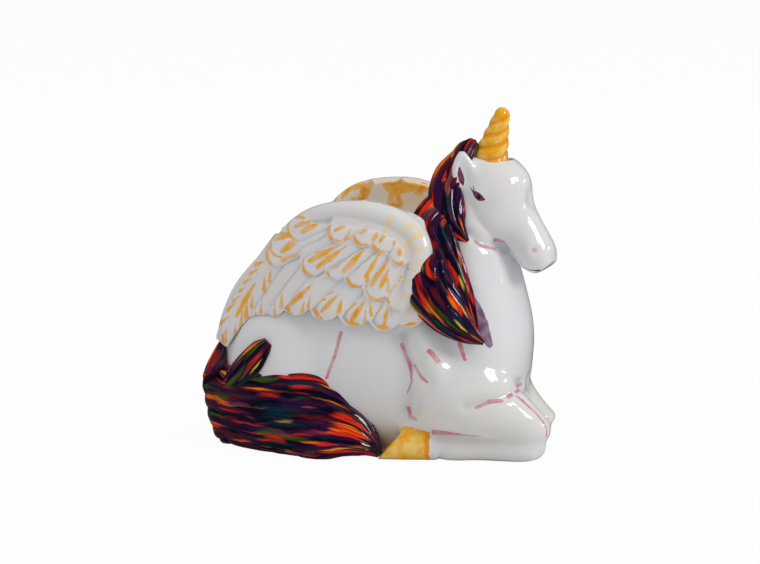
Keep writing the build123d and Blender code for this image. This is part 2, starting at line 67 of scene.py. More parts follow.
EARS = (WHITE_CASTINGS.index("right_ear"), WHITE_CASTINGS.index("left_ear"))
HOOVES = ("right_fore_hoof", "left_fore_hoof", "left_hind_hoof")
SKIN_CASTINGS = WHITE_CASTINGS + HOOVES
UNREACHED = 1e6


def points_of(mesh):
    """A mesh's points in millimetres."""
    flat = np.empty(len(mesh.vertices) * 3)
    mesh.vertices.foreach_get("co", flat)
    return flat.reshape(-1, 3) / MM


def move_points(mesh, points):
    mesh.vertices.foreach_set("co", (points * MM).ravel())
    mesh.update()


def normals_of(mesh):
    flat = np.empty(len(mesh.vertices) * 3)
    mesh.vertex_normals.foreach_get("vector", flat)
    return flat.reshape(-1, 3)


def set_values(mesh, name, values):
    """One number for each point of a mesh, for its glaze to read."""
    layer = mesh.attributes.get(name) or mesh.attributes.new(name, "FLOAT", "POINT")
    layer.data.foreach_set("value", np.asarray(values, dtype=np.float32))


def placed(name, data):
    """A new object in the scene, made of this data."""
    piece = bpy.data.objects.new(name, data)
    bpy.context.scene.collection.objects.link(piece)
    return piece


def taken_out(piece):
    """The mesh of a piece as its modifiers leave it. The piece itself is cleared away."""
    seen = piece.evaluated_get(bpy.context.evaluated_depsgraph_get())
    result = bpy.data.meshes.new_from_object(seen)
    bpy.data.objects.remove(piece)
    return result


def worked(mesh, kind, weights=None, **settings):
    """A mesh after one of Blender's modifiers has worked on it."""
    piece = placed("at_the_bench", mesh)
    tool = piece.modifiers.new("tool", kind)
    for name, value in settings.items():
        setattr(tool, name, value)
    if weights is not None:
        group = piece.vertex_groups.new(name="where")
        for index in np.flatnonzero(weights > 0.002):
            group.add((int(index),), float(weights[index]), "REPLACE")
        tool.vertex_group = "where"
    return taken_out(piece)


def outer_shell(mesh):
    """Leaves only the largest connected skin of a mesh."""
    shape = bmesh.new()
    shape.from_mesh(mesh)
    waiting = set(shape.verts)
    shells = []
    while waiting:
        front = [waiting.pop()]
        shell = list(front)
        while front:
            corner = front.pop()
            for edge in corner.link_edges:
                other = edge.other_vert(corner)
                if other in waiting:
                    waiting.discard(other)
                    front.append(other)
                    shell.append(other)
        shells.append(shell)
    shells.sort(key=len)
    for shell in shells[:-1]:
        bmesh.ops.delete(shape, geom=shell, context="VERTS")
    shape.to_mesh(mesh)
    shape.free()


def clay_of(names, grain, plug=None, slip=()):
    """The castings of these names as one clay skin of even grain, with slip filled in some creases."""
    shape = bmesh.new()
    for name in names:
        shape.from_mesh(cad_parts[name].data)
    bmesh.ops.remove_doubles(shape, verts=shape.verts, dist=0.002 * MM)
    if plug is not None:
        radius, height = plug
        middle = Vector((VENT_PLACE[0], VENT_PLACE[1], height / 2)) * MM
        bmesh.ops.create_cone(
            shape, cap_ends=True, segments=32, radius1=radius * MM, radius2=radius * MM,
            depth=height * MM, matrix=Matrix.Translation(middle),
        )
    for place in slip:
        bmesh.ops.create_icosphere(shape, subdivisions=3, radius=SLIP_RADIUS * MM,
                                   matrix=Matrix.Translation(Vector(place) * MM))
    loose = bpy.data.meshes.new("loose")
    shape.to_mesh(loose)
    shape.free()
    clay = worked(loose, "REMESH", mode="VOXEL", voxel_size=grain * MM, use_smooth_shade=True)
    outer_shell(clay)
    return clay


def sponged(mesh, passes, weights=None):
    return worked(mesh, "SMOOTH", weights, factor=0.5, iterations=passes)


def hollowness(mesh, passes, full):
    """How deep each point lies in a hollow, from -1 on a ridge to 1: for painted shade, for glaze that
    gathers there and for shaping the clay.
    """
    softer = sponged(mesh, passes)
    depth = ((points_of(softer) - points_of(mesh)) * normals_of(mesh)).sum(axis=1)
    bpy.data.meshes.remove(softer)
    return np.clip(depth / full, -1, 1)


def smooth_share(values, low, high):
    """Rises softly from 0 at low to 1 at high."""
    share = np.clip((values - low) / (high - low), 0, 1)
    return share * share * (3 - 2 * share)


# Slip smoothed into the crease behind each haunch.
SLIP_RADIUS = 6.0
SLIP_PLACES = (
    (-53.0, 23.6, 54.0), (-55.4, 23.8, 50.0), (-56.8, 24.1, 46.0), (-56.8, 24.1, 41.0),
    (-56.8, 24.6, 36.0), (-56.2, 25.0, 31.0),
)
both_creases = [(x, side * y, z) for x, y, z in SLIP_PLACES for side in (-1, 1)]
VENT_PLUG = (VENT_RADIUS + 2.0, VENT_DEPTH)
skin = clay_of(SKIN_CASTINGS, SKIN_GRAIN, VENT_PLUG, both_creases)

# Which casting each point of the skin belongs to, and how near the next casting is.
skin_points = points_of(skin)
nearest = np.full(len(skin_points), UNREACHED)
second = np.full(len(skin_points), UNREACHED)
owner = np.zeros(len(skin_points), dtype=int)
partner = np.zeros(len(skin_points), dtype=int)
depsgraph = bpy.context.evaluated_depsgraph_get()
for number, name in enumerate(SKIN_CASTINGS):
    tree = BVHTree.FromObject(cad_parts[name], depsgraph)
    low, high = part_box(name)
    low, high = np.array(low) / MM - JOINT_REACH, np.array(high) / MM + JOINT_REACH
    inside = np.all((skin_points > low) & (skin_points < high), axis=1)
    for index in np.flatnonzero(inside):
        found = tree.find_nearest(Vector(skin_points[index]) * MM, JOINT_REACH * MM)
        if found[3] is None:
            continue
        gap = found[3] / MM
        if gap < nearest[index]:
            second[index] = nearest[index]
            partner[index] = owner[index]
            nearest[index] = gap
            owner[index] = number
        elif gap < second[index]:
            second[index] = gap
            partner[index] = number

# Where each hoof starts at the leg, which way it points, and the white casting before it.
HOOF_PLACES = (
    ((39.2, -26.5), (-0.973, -0.230), "right_cannon"),
    ((32.2, 26.5), (-0.973, 0.230), "left_cannon"),
    ((-20.0, 39.0), (0.988, 0.156), "left_hind_cannon"),
)
HOOF_LENGTH = 27.0
CORONET = 3.5
for hoof, (start, ahead, leg) in enumerate(HOOF_PLACES):
    past = (skin_points[:, :2] - np.array(start)) @ np.array(ahead)
    above_coronet = (owner == len(WHITE_CASTINGS) + hoof) & (past < CORONET)
    owner[above_coronet] = WHITE_CASTINGS.index(leg)

# Joints are sponged most, the foot and the joints of the ears and throat less.
joint_weights = 1 - smooth_share(second, JOINT_CORE, JOINT_REACH)
joint_weights *= smooth_share(skin_points[:, 2], *FIRM_FOOT)
by_ear = np.isin(owner, EARS) | np.isin(partner, EARS)
joint_weights[by_ear] = EAR_EASE * (1 - smooth_share(second[by_ear], EAR_CORE, EAR_REACH))
at_throat = np.isin(owner, (NECK, HEAD)) & np.isin(partner, (NECK, HEAD))
joint_weights[at_throat & (skin_points[:, 0] > THROAT_FRONT)] *= THROAT_EASE
skin = sponged(skin, CLAY_PASSES)
skin = sponged(skin, JOINT_PASSES, joint_weights)

# The picture's viewpoint. Brush strokes and creases are placed where the painter's viewer sees them.
VIEW_TURN = math.radians(19.0)
VIEW_RISE = math.radians(11.0)
VIEW_AIM = np.array((0.0, 0.0, 74.0))
VIEW_DISTANCE = 1100.0
VIEW_SCALE = 2.2
AIM_PIXEL = (375.0, 279.0)
view_right = np.array((math.cos(VIEW_TURN), math.sin(VIEW_TURN), 0.0))
view_back = np.array((
    math.sin(VIEW_TURN) * math.cos(VIEW_RISE),
    -math.cos(VIEW_TURN) * math.cos(VIEW_RISE),
    math.sin(VIEW_RISE),
))
view_up = np.cross(view_back, view_right)
view_eye = VIEW_AIM + view_back * VIEW_DISTANCE


def surface_tree(mesh):
    piece = placed("surface", mesh)
    tree = BVHTree.FromObject(piece, bpy.context.evaluated_depsgraph_get())
    bpy.data.objects.remove(piece)
    return tree


def seen_at(tree, places):
    """Points of a surface that are seen at these places of the picture."""
    found = []
    for across, down in places:
        ray = -view_back * VIEW_DISTANCE
        ray = ray + view_right * ((across - AIM_PIXEL[0]) / VIEW_SCALE)
        ray = ray + view_up * ((AIM_PIXEL[1] - down) / VIEW_SCALE)
        hit = tree.ray_cast(Vector(view_eye * MM), Vector(ray).normalized())[0]
        if hit is not None:
            found.append(np.array(hit) / MM)
    return found


def picture_places(points):
    """Where points are seen in the picture."""
    away = points - view_eye
    depth = -(away @ view_back)
    scale = VIEW_SCALE * VIEW_DISTANCE / depth
    return np.stack((AIM_PIXEL[0] + (away @ view_right) * scale,
                     AIM_PIXEL[1] - (away @ view_up) * scale), axis=1)


UNPAINTED = 1e3


def stroke_distance(points, path, widths):
    """Distance of points from a brush stroke along a path, below zero inside it."""
    best = np.full(len(points), UNPAINTED)
    for start, end, wide, narrow in zip(path, path[1:], widths, widths[1:]):
        start, end = np.asarray(start), np.asarray(end)
        along = end - start
        share = np.clip(((points - start) @ along) / max(along @ along, 1e-9), 0, 1)
        away = np.linalg.norm(points - start - share[:, None] * along, axis=1)
        best = np.minimum(best, away - (wide + (narrow - wide) * share) / 2)
    return best


# Creases where limbs meet the body. The painter drew a thin pink line along each: its places in the
# picture, its width at each place, and how deep the crease is.
CREASES = (
    (((340.7, 333), (335, 354.7), (326.4, 378.4)), (1.3, 1.2, 1.0), 0.5),
    (((401.2, 344.2), (407.5, 364.3), (408, 382.7), (405, 396)), (1.3, 1.1, 0.7, 0.3), 0.3),
    (((412, 365.4), (419.6, 376.4), (427, 382)), (1.1, 1.4, 0.7), 1.0),
    (((430.5, 352.8), (438.5, 362.6)), (1.9, 1.7), 0.0),
    (((459.8, 343.6), (465, 359.7)), (1.7, 1.1), 0.3),
    (((407, 411.4), (409.9, 418.8), (415.6, 420.6)), (1.2, 1.4, 0.9), 0.6),
    (((434, 432), (443, 432.6), (481, 436)), (2.0, 1.8, 0.5), 0.0),
    (((476.4, 408.5), (490, 402.2), (502.3, 400.5)), (0.9, 1.4, 1.6), 0.3),
    (((509.7, 396.4), (514, 393.5)), (1.5, 1.2), 0.2),
    (((518, 391), (523, 385)), (1.3, 1.1), 0.5),
    (((518.4, 396.4), (535, 411.4), (545.3, 424), (548.2, 436.6)), (1.2, 0.9, 0.9, 0.7), 0.4),
)
HEAD_CREASES = (
    (((476, 241.8), (483.5, 246.4), (497.2, 249.2)), (1.0, 1.5, 0.9), 0.5),
    (((495.5, 239.5), (503.6, 242.4)), (1.4, 1.1), 0.3),
)
HEAD_ROOT = np.array((49.7, 0.0, 116.2))
HEAD_TURN = math.radians(-6.0)


def turned_with_head(points, angle):
    """Points turned about the upright through the top of the neck."""
    away = points - HEAD_ROOT
    turned = away.copy()
    turned[:, 0] = away[:, 0] * math.cos(angle) - away[:, 1] * math.sin(angle)
    turned[:, 1] = away[:, 0] * math.sin(angle) + away[:, 1] * math.cos(angle)
    return turned + HEAD_ROOT


def other_side(points, on_head):
    """The same places on the other side of the animal, or of its turned head."""
    mirror = np.array((1.0, -1.0, 1.0))
    if not on_head:
        return points * mirror
    return turned_with_head(turned_with_head(points, -HEAD_TURN) * mirror, HEAD_TURN)


skin_points = points_of(skin)
skin_normals = normals_of(skin)
skin_tree = surface_tree(skin)
pink = np.full(len(skin_points), UNPAINTED)
carved = np.zeros(len(skin_points))
CREASE_SPREAD = 2.6
PINK_SPREAD = 0.22
FAR = 20.0
SMEAR = ((467, 291), (474.5, 309), (481.5, 325), (489, 344))
SMEAR_WIDTHS = (2.5, 6.5, 6.5, 3.2)
smear = np.minimum(stroke_distance(skin_points, seen_at(skin_tree, SMEAR), SMEAR_WIDTHS), FAR)
for group, on_head in ((CREASES, False), (HEAD_CREASES, True)):
    for places, widths, depth in group:
        path = seen_at(skin_tree, places)
        if len(path) < len(places):
            continue
        for side_points in (skin_points, other_side(skin_points, on_head)):
            gap = stroke_distance(side_points, path, widths) - PINK_SPREAD
            middle = stroke_distance(side_points, path, [0.0] * len(path))
            pink = np.minimum(pink, gap)
            carved -= depth * np.exp(-(middle / CREASE_SPREAD) ** 2)

# Lines pressed into the clay, or raised where the depth is below zero: jaw, shoulder, breast, foreleg.
# Each row is the path in the picture, the depth, how far it spreads, and if it is on the head.
LINES = (
    (((468, 233), (475, 238.5), (486, 242), (497, 244), (505, 249)), 1.4, 2.2, True),
    (((403, 336), (407, 352), (409, 372), (408, 392), (406, 412)), 2.8, 4.2, False),
    (((466, 407), (478, 403), (490, 399), (502, 396), (512, 391), (521, 385)), 1.8, 2.7, False),
    (((424, 342), (432, 356), (437, 370)), -3.0, 5.5, False),
    (((446, 338), (452, 360), (447, 378)), 0.7, 3.5, False),
    (((472, 424), (500, 421), (524, 428)), -0.9, 7.0, False),
)
for places, depth, spread, on_head in LINES:
    path = seen_at(skin_tree, places)
    for side_points in (skin_points, other_side(skin_points, on_head)):
        middle = stroke_distance(side_points, path, [0.0] * len(path))
        carved -= depth * np.exp(-(middle / spread) ** 2)

# Breast, knee, throat, eye, cheek, brow, nose, lip and nostril are modelled in the soft clay. Each row
# is the place in the picture, how far the bump or dent reaches, its height, and if it is on the head.
BUMPS = (
    ((499, 364), 13.0, 1.5, False),
    ((545, 454), 6.0, -2.8, False),
    ((520, 291), 13.0, -1.2, False),
    ((478.5, 196.5), 4.2, 0.75, True),
    ((486, 206), 5.5, -0.5, True),
    ((484, 228), 9.0, 1.6, True),
    ((527, 183), 8.0, 0.9, True),
    ((531, 198), 5.5, -1.2, True),
    ((555, 259), 4.0, -1.3, True),
    ((534.6, 250.2), 2.4, -0.7, True),
    ((530, 246.5), 3.2, 0.5, True),
    ((503, 257), 4.0, -0.6, False),
)
for place, reach, height, on_head in BUMPS:
    centre = seen_at(skin_tree, (place,))[0]
    for side_points in (skin_points, other_side(skin_points, on_head)):
        away = np.linalg.norm(side_points - centre, axis=1)
        carved += np.where(on_head | (owner != HEAD), height * np.exp(-(away / reach) ** 2), 0)

# Hollows are not carved deeper, so that the clay doesn't fold there.
concave = np.clip(hollowness(skin, 30, 0.8), 0, 1)
carved = np.where(carved < 0, carved * (1 - concave), carved)
skin_points = skin_points + skin_normals * carved[:, None]

# The far knee lies a little lower than the near one.
FAR_KNEE_SHIFT = np.array((1.0, 0.0, -5.0))
FAR_KNEE_SPAN = ((50.0, 70.0), (3.0, 12.0), (6.0, 22.0))
FAR_KNEE_TOP = (29.0, 42.0)
far_knee = 1 - smooth_share(skin_points[:, 2], *FAR_KNEE_TOP)
for axis, span in enumerate(FAR_KNEE_SPAN):
    far_knee *= smooth_share(skin_points[:, axis], *span)
skin_points = skin_points + far_knee[:, None] * FAR_KNEE_SHIFT

# The seat of the horn, trimmed so that the head falls away beside and behind it, less in front.
HORN_SEAT = HEAD_ROOT + np.array((5.0, 0.0, 17.2))
HORN_LEAN = math.radians(15.0)
SEAT_FALL = 0.028
SEAT_FRONT = (0.5, 0.95)
SEAT_FRONT_SHARE = 0.85
SEAT_EDGE = (8.0, 10.5)
SEAT_DEPTH = 12.0
horn_axis = np.array((math.sin(HORN_LEAN), 0.0, math.cos(HORN_LEAN)))
from_seat = turned_with_head(skin_points, -HEAD_TURN) - HORN_SEAT
above = from_seat @ horn_axis
from_axis = np.linalg.norm(from_seat - above[:, None] * horn_axis, axis=1)
forward = np.array((math.cos(HORN_LEAN), 0.0, -math.sin(HORN_LEAN)))
in_front = smooth_share((from_seat @ forward) / np.maximum(from_axis, 0.01), *SEAT_FRONT)
fall = SEAT_FALL * (1 - SEAT_FRONT_SHARE * in_front) * from_axis ** 2
too_high = np.maximum(above + fall, 0) * (1 - smooth_share(from_axis, *SEAT_EDGE))
too_high = np.where(above > -SEAT_DEPTH, too_high, 0)
lowered = turned_with_head(HEAD_ROOT + horn_axis[None, :], HEAD_TURN)[0] - HEAD_ROOT
skin_points = skin_points - too_high[:, None] * lowered

# The drain and vent hole in the foot, which the caster cuts while the clay is wet.
from_vent = np.hypot(skin_points[:, 0] - VENT_PLACE[0], skin_points[:, 1] - VENT_PLACE[1])
in_vent = (from_vent < VENT_RADIUS) & (skin_points[:, 2] < VENT_DEPTH / 2)
skin_points[:, 2] = np.where(in_vent, VENT_DEPTH, np.maximum(skin_points[:, 2], 0))
move_points(skin, skin_points)
skin = sponged(skin, 3)

# The throat and the edge of the horn's seat are sponged once more.
THROAT = (505.0, 247.6)
THROAT_SPONGED = (2.0, 7.0)
THROAT_PASSES, LIP_PASSES = 30, 25
LIP_RADIUS = 9.0
LIP_SPONGED = (0.5, 5.0)
LIP_DEPTH = 8.0
throat = np.array(seen_at(skin_tree, (THROAT,)))
in_throat = np.minimum(np.linalg.norm(skin_points - throat, axis=1),
                       np.linalg.norm(other_side(skin_points, True) - throat, axis=1))
skin = sponged(skin, THROAT_PASSES, 1 - smooth_share(in_throat, *THROAT_SPONGED))
from_lip = np.abs(from_axis - LIP_RADIUS)
at_lip = (above > -LIP_DEPTH) * (1 - smooth_share(from_lip, *LIP_SPONGED))
skin = sponged(skin, LIP_PASSES, at_lip)

# Painted features of the face, at their places in the picture: eye, lashes, nostril and mouth.
EYE_OUTLINE = (
    (472.6, 191.2), (476, 191.2), (479.5, 192.8), (482.7, 196), (485.8, 200),
    (482, 201.3), (478.5, 201), (475.2, 198.2), (473.3, 194.8),
)
PUPIL_PLACE = (478.9, 197.0)
PUPIL_SIZE = (2.0, 2.6)
LASHES = (((470.4, 187.2), (473.0, 191.8)), ((473.6, 186.2), (474.2, 191.6)))
NOSTRIL_PLACE = (534.6, 250.2)
NOSTRIL_RADIUS = 2.6
MOUTH = ((521, 266.2), (527, 269), (533, 270.4), (539, 270.6))
FACE_REACH = 9.0
EYE_REACH = 7.0
BARE_FOOT = (0.25, 0.8)


def outline_distance(places, outline):
    """Distance of picture places from a closed outline, below zero inside it."""
    corners = np.array(outline)
    best = np.full(len(places), UNREACHED)
    inside = np.zeros(len(places), dtype=bool)
    for start, end in zip(corners, np.roll(corners, -1, axis=0)):
        along = end - start
        share = np.clip(((places - start) @ along) / (along @ along), 0, 1)
        best = np.minimum(best, np.linalg.norm(places - start - share[:, None] * along, axis=1))
        crosses = (start[1] > places[:, 1]) != (end[1] > places[:, 1])
        with np.errstate(divide="ignore", invalid="ignore"):
            at = start[0] + (places[:, 1] - start[1]) * along[0] / along[1]
        inside ^= crosses & (places[:, 0] < at)
    return np.where(inside, -best, best)


def finer_near(mesh, centres, reach, cuts):
    """Cuts a mesh finer round some places, where the painter used the smallest brush."""
    shape = bmesh.new()
    shape.from_mesh(mesh)
    edges = []
    for edge in shape.edges:
        middle = (edge.verts[0].co + edge.verts[1].co) / 2
        if any((middle - centre).length < reach * MM for centre in centres):
            edges.append(edge)
    bmesh.ops.subdivide_edges(shape, edges=edges, cuts=cuts, use_grid_fill=True)
    bmesh.ops.triangulate(shape, faces=[face for face in shape.faces if len(face.verts) > 4])
    shape.to_mesh(mesh)
    shape.free()


skin_tree = surface_tree(skin)
eye_centre = np.array(seen_at(skin_tree, (PUPIL_PLACE,)))
both_eyes = (eye_centre, other_side(eye_centre, True))
set_values(skin, "pink", pink)
set_values(skin, "casting", owner)
set_values(skin, "smear", smear)
finer_near(skin, [Vector(eye[0] * MM) for eye in both_eyes], EYE_REACH, 2)
skin_points = points_of(skin)
plum = np.full(len(skin_points), UNPAINTED)
ink = np.full(len(skin_points), UNPAINTED)
blush = np.full(len(skin_points), UNPAINTED)
mouth_path = seen_at(skin_tree, MOUTH)
nostril_centre = np.array(seen_at(skin_tree, (NOSTRIL_PLACE,)))
for side_points in (skin_points, other_side(skin_points, True)):
    near_eye = np.linalg.norm(side_points - eye_centre, axis=1) < FACE_REACH
    places = picture_places(side_points[near_eye])
    plum[near_eye] = np.minimum(plum[near_eye], outline_distance(places, EYE_OUTLINE) / VIEW_SCALE)
    from_pupil = np.linalg.norm((places - PUPIL_PLACE) / PUPIL_SIZE, axis=1) - 1
    ink[near_eye] = np.minimum(ink[near_eye], from_pupil * PUPIL_SIZE[0] / VIEW_SCALE)
    for lash in LASHES:
        gap = stroke_distance(places, lash, (0.6, 1.3)) / VIEW_SCALE
        plum[near_eye] = np.minimum(plum[near_eye], gap)
    from_nostril = np.linalg.norm(side_points - nostril_centre, axis=1)
    blush = np.minimum(blush, from_nostril - NOSTRIL_RADIUS / VIEW_SCALE)
    if len(mouth_path) > 1:
        mouth_widths = np.linspace(0.4, 1.5, len(mouth_path))
        ink = np.minimum(ink, stroke_distance(side_points, mouth_path, mouth_widths))

# One plum mark in the hollow of each ear, along it.
EAR_ROOT = np.array((-1.0, 13.5, 3.5))
EAR_TIP = np.array((-3.2, 14.5, 20.5))
EAR_FACING = np.array((0.4, 1.0, 0.0)) / math.hypot(0.4, 1.0)
EAR_MARK = ((2.0, -1.2), (4.5, -1.6), (7.5, -1.9), (10.5, -1.8))
EAR_MARK_WIDTHS = (0.5, 2.6, 2.3, 0.5)
for side in (-1.0, 1.0):
    sided = np.array((1.0, side, 1.0))
    straight = turned_with_head(skin_points, -HEAD_TURN) - HEAD_ROOT - EAR_ROOT * sided
    axis = (EAR_TIP - EAR_ROOT) * sided
    axis = axis / np.linalg.norm(axis)
    facing = EAR_FACING * sided
    spread = np.stack((straight @ axis, straight @ np.cross(facing, axis) * side), axis=1)
    mark = stroke_distance(spread, EAR_MARK, EAR_MARK_WIDTHS)
    turned_normals = turned_with_head(HEAD_ROOT + normals_of(skin), -HEAD_TURN) - HEAD_ROOT
    on_ear = (np.abs(straight @ facing) < 3.0) & (turned_normals @ facing > 0.1)
    plum = np.where(on_ear, np.minimum(plum, mark), plum)
set_values(skin, "plum", np.minimum(plum, FAR))
set_values(skin, "ink", np.minimum(ink, FAR))
set_values(skin, "blush", np.minimum(blush, FAR))
# How deep each point lies in a hollow, which the glaze darkens as painted shade.
set_values(skin, "hollow", hollowness(skin, 40, 0.35))
set_values(skin, "bare", 1 - smooth_share(skin_points[:, 2], *BARE_FOOT))


def add_node(tree, kind, sockets=None, **settings):
    """A node with its settings made, and its sockets set to values or fed by other sockets."""
    node = tree.nodes.new(kind)
    for name, value in settings.items():
        setattr(node, name, value)
    for key, value in (sockets or {}).items():
        if isinstance(value, bpy.types.NodeSocket):
            tree.links.new(value, node.inputs[key])
        else:
            node.inputs[key].default_value = value
    return node


def linear(red, green, blue):
    """A colour as the eye knows it, from 0 to 255, as the shader takes it."""
    shares = [value / 255 for value in (red, green, blue)]
    return [s / 12.92 if s <= 0.04045 else ((s + 0.055) / 1.055) ** 2.4 for s in shares] + [1.0]


def noise(tree, where, scale, detail=2.0, **sockets):
    inputs = {"Vector": where, "Scale": scale, "Detail": detail, **sockets}
    return add_node(tree, "ShaderNodeTexNoise", inputs).outputs["Fac"]


def maths(tree, operation, *values):
    sockets = dict(enumerate(values))
    return add_node(tree, "ShaderNodeMath", sockets, operation=operation).outputs[0]


def sum_of(tree, first, second):
    return maths(tree, "ADD", first, second)


def product(tree, first, second):
    return maths(tree, "MULTIPLY", first, second)


def ramp(tree, value, low, high, start=0.0, end=1.0):
    """A soft step of a value from start at low to end at high."""
    sockets = {"Value": value, "From Min": low, "From Max": high, "To Min": start, "To Max": end}
    node = add_node(tree, "ShaderNodeMapRange", sockets, interpolation_type="SMOOTHSTEP")
    return node.outputs["Result"]


def over(tree, share, below, above):
    """One colour laid over another."""
    node = add_node(tree, "ShaderNodeMix", {0: share, 6: below, 7: above}, data_type="RGBA")
    return node.outputs[2]


def value_of(tree, name):
    return add_node(tree, "ShaderNodeAttribute", attribute_name=name).outputs["Fac"]


def brushed(tree, where, name, ragged, edge, opacity):
    """Share of paint of a stroke, with a ragged edge and uneven thickness."""
    rough = maths(tree, "SUBTRACT", noise(tree, where, 900.0, 3.0), 0.5)
    distance = sum_of(tree, value_of(tree, name), product(tree, rough, ragged))
    body = ramp(tree, distance, -edge, edge, 1.0, 0.0)
    flow = ramp(tree, noise(tree, where, 260.0, 2.0), 0.3, 0.7, opacity[0], opacity[1])
    return product(tree, body, flow)


def glaze(name):
    """A new material of clear glaze over colour, with its tree, its shader and its place on the piece."""
    material = bpy.data.materials.new(name)
    material.use_nodes = True
    tree = material.node_tree
    shader = tree.nodes["Principled BSDF"]
    shader.inputs["IOR"].default_value = 1.5
    shader.inputs["Coat Weight"].default_value = 0.35
    shader.inputs["Coat Roughness"].default_value = 0.03
    where = add_node(tree, "ShaderNodeTexCoord").outputs["Object"]
    return material, tree, shader, where


def glaze_surface(tree, shader, where, roughness, ripple):
    """Slow ripples of run glaze and a little unevenness of its gloss."""
    gloss = ramp(tree, noise(tree, where, 120.0, 3.0), 0.25, 0.75, roughness[0], roughness[1])
    tree.links.new(gloss, shader.inputs["Roughness"])
    height = noise(tree, where, 90.0, 1.0)
    sockets = {"Strength": ripple, "Distance": 0.6 * MM, "Height": height}
    bump = add_node(tree, "ShaderNodeBump", sockets)
    tree.links.new(bump.outputs["Normal"], shader.inputs["Normal"])


GLAZE_WHITE = linear(228, 229, 231)
GLAZE_SHADE_GREY = linear(198, 201, 211)
GLAZE_WARM = linear(228, 226, 221)
BARE_CLAY = linear(222, 212, 194)
PAINT_PINK = linear(212, 108, 126)
PAINT_PLUM = linear(104, 14, 74)
PAINT_INK = linear(24, 14, 34)
PAINT_PURPLE = linear(108, 66, 104)

# Each kind of stroke: how ragged and how soft its edge is, how opaque it is, and its paint.
STROKES = (
    ("pink", 0.7, 0.16, (0.5, 0.9), PAINT_PINK),
    ("blush", 0.8, 0.35, (0.35, 0.6), PAINT_PINK),
    ("plum", 0.12, 0.06, (0.92, 1.0), PAINT_PLUM),
    ("ink", 0.25, 0.12, (0.85, 1.0), PAINT_INK),
    ("smear", 0.8, 0.3, (0.7, 0.95), PAINT_PURPLE),
)

white_glaze, tree, shader, where = glaze("white_glaze")
colour = over(tree, ramp(tree, noise(tree, where, 22.0, 2.0), 0.35, 0.7), GLAZE_WHITE, GLAZE_WARM)
# Painted shade: the hollows and creases are laid over with a cool grey, together with glaze pooled
# thicker there.
hollow_shade = ramp(tree, value_of(tree, "hollow"), 0.05, 0.9, 0.0, 0.75)
colour = over(tree, hollow_shade, colour, GLAZE_SHADE_GREY)
for name, ragged, edge, opacity, paint in STROKES:
    colour = over(tree, brushed(tree, where, name, ragged, edge, opacity), colour, paint)
foot = value_of(tree, "bare")
colour = over(tree, foot, colour, BARE_CLAY)
tree.links.new(colour, shader.inputs["Base Color"])
glaze_surface(tree, shader, where, (0.05, 0.10), 0.05)
gloss = shader.inputs["Roughness"].links[0].from_socket
tree.links.new(sum_of(tree, gloss, product(tree, foot, 0.6)), shader.inputs["Roughness"])


def settled(mesh, labels, count, rounds):
    """Castings' numbers of the points, with the borders between them drawn smooth."""
    ends = np.empty(len(mesh.edges) * 2, dtype=int)
    mesh.edges.foreach_get("vertices", ends)
    ends = ends.reshape(-1, 2)
    for _ in range(rounds):
        votes = np.zeros((len(labels), count))
        np.add.at(votes, (np.arange(len(labels)), labels), 1.0)
        np.add.at(votes, (ends[:, 0], labels[ends[:, 1]]), 1.0)
        np.add.at(votes, (ends[:, 1], labels[ends[:, 0]]), 1.0)
        labels = votes.argmax(axis=1)
    return labels


def finished(name, mesh, material, slot, *nodes):
    """Puts a finished piece in the scene in place of its castings."""
    piece = placed(name, mesh)
    mesh.materials.clear()
    mesh.materials.append(material)
    mesh.polygons.foreach_set("use_smooth", [True] * len(mesh.polygons))
    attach(piece, "root")
    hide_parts(*nodes)
    return piece


def closed_part(mesh, labels, number, whole_normals):
    """The part of a skin that is one casting's, closed where it is luted to its neighbours."""
    shape = bmesh.new()
    shape.from_mesh(mesh)
    shape.verts.ensure_lookup_table()
    origin = shape.verts.layers.int.new("origin")
    for vert in shape.verts:
        vert[origin] = vert.index
    away = []
    for face in shape.faces:
        votes = [labels[vert.index] for vert in face.verts]
        if max(sorted(set(votes)), key=votes.count) != number:
            away.append(face)
    bmesh.ops.delete(shape, geom=away, context="FACES")
    rims = [edge for edge in shape.edges if edge.is_boundary]
    caps = bmesh.ops.holes_fill(shape, edges=rims, sides=0)["faces"]
    rims = [edge for edge in shape.edges if edge.is_boundary]
    if rims:
        caps += bmesh.ops.contextual_create(shape, geom=rims)["faces"]
    bmesh.ops.poke(shape, faces=caps)
    part = bpy.data.meshes.new("part")
    shape.verts.index_update()
    origins = np.array([vert[origin] for vert in shape.verts])
    shape.verts.layers.int.remove(shape.verts.layers.int["origin"])
    shape.to_mesh(part)
    shape.free()
    part.normals_split_custom_set_from_vertices(whole_normals[origins])
    return part


BORDER_ROUNDS = 14
casting = np.empty(len(skin.vertices), dtype=np.float32)
skin.attributes["casting"].data.foreach_get("value", casting)
labels = settled(skin, np.round(casting).astype(int), len(SKIN_CASTINGS), BORDER_ROUNDS)
skin.attributes.remove(skin.attributes["casting"])
whole_normals = normals_of(skin)
for number, name in enumerate(WHITE_CASTINGS):
    part = closed_part(skin, labels, number, whole_normals)
    finished("glazed_" + name, part, white_glaze, "white_glaze", name)

# Horn
# A blunt cone with three flutes that wind up it, cast solid and luted between the ears. It is
# washed with yellow ochre, and the grooves hold a darker orange.
GOLD_PALE = linear(251, 214, 120)
GOLD = linear(246, 176, 34)
GOLD_DEEP = linear(238, 142, 8)
HORN_RINGS, HORN_SIDES = 140, 121
CONE_SHARE = 0.82
HORN_SIZES = {
    "Length": 18.5 * MM, "Root": 5.5 * MM, "Base Radius": 8.9 * MM, "Tip Radius": 3.6 * MM,
    "Flutes": 3.0, "Turns": 1.4, "Flute Depth": 0.10,
}


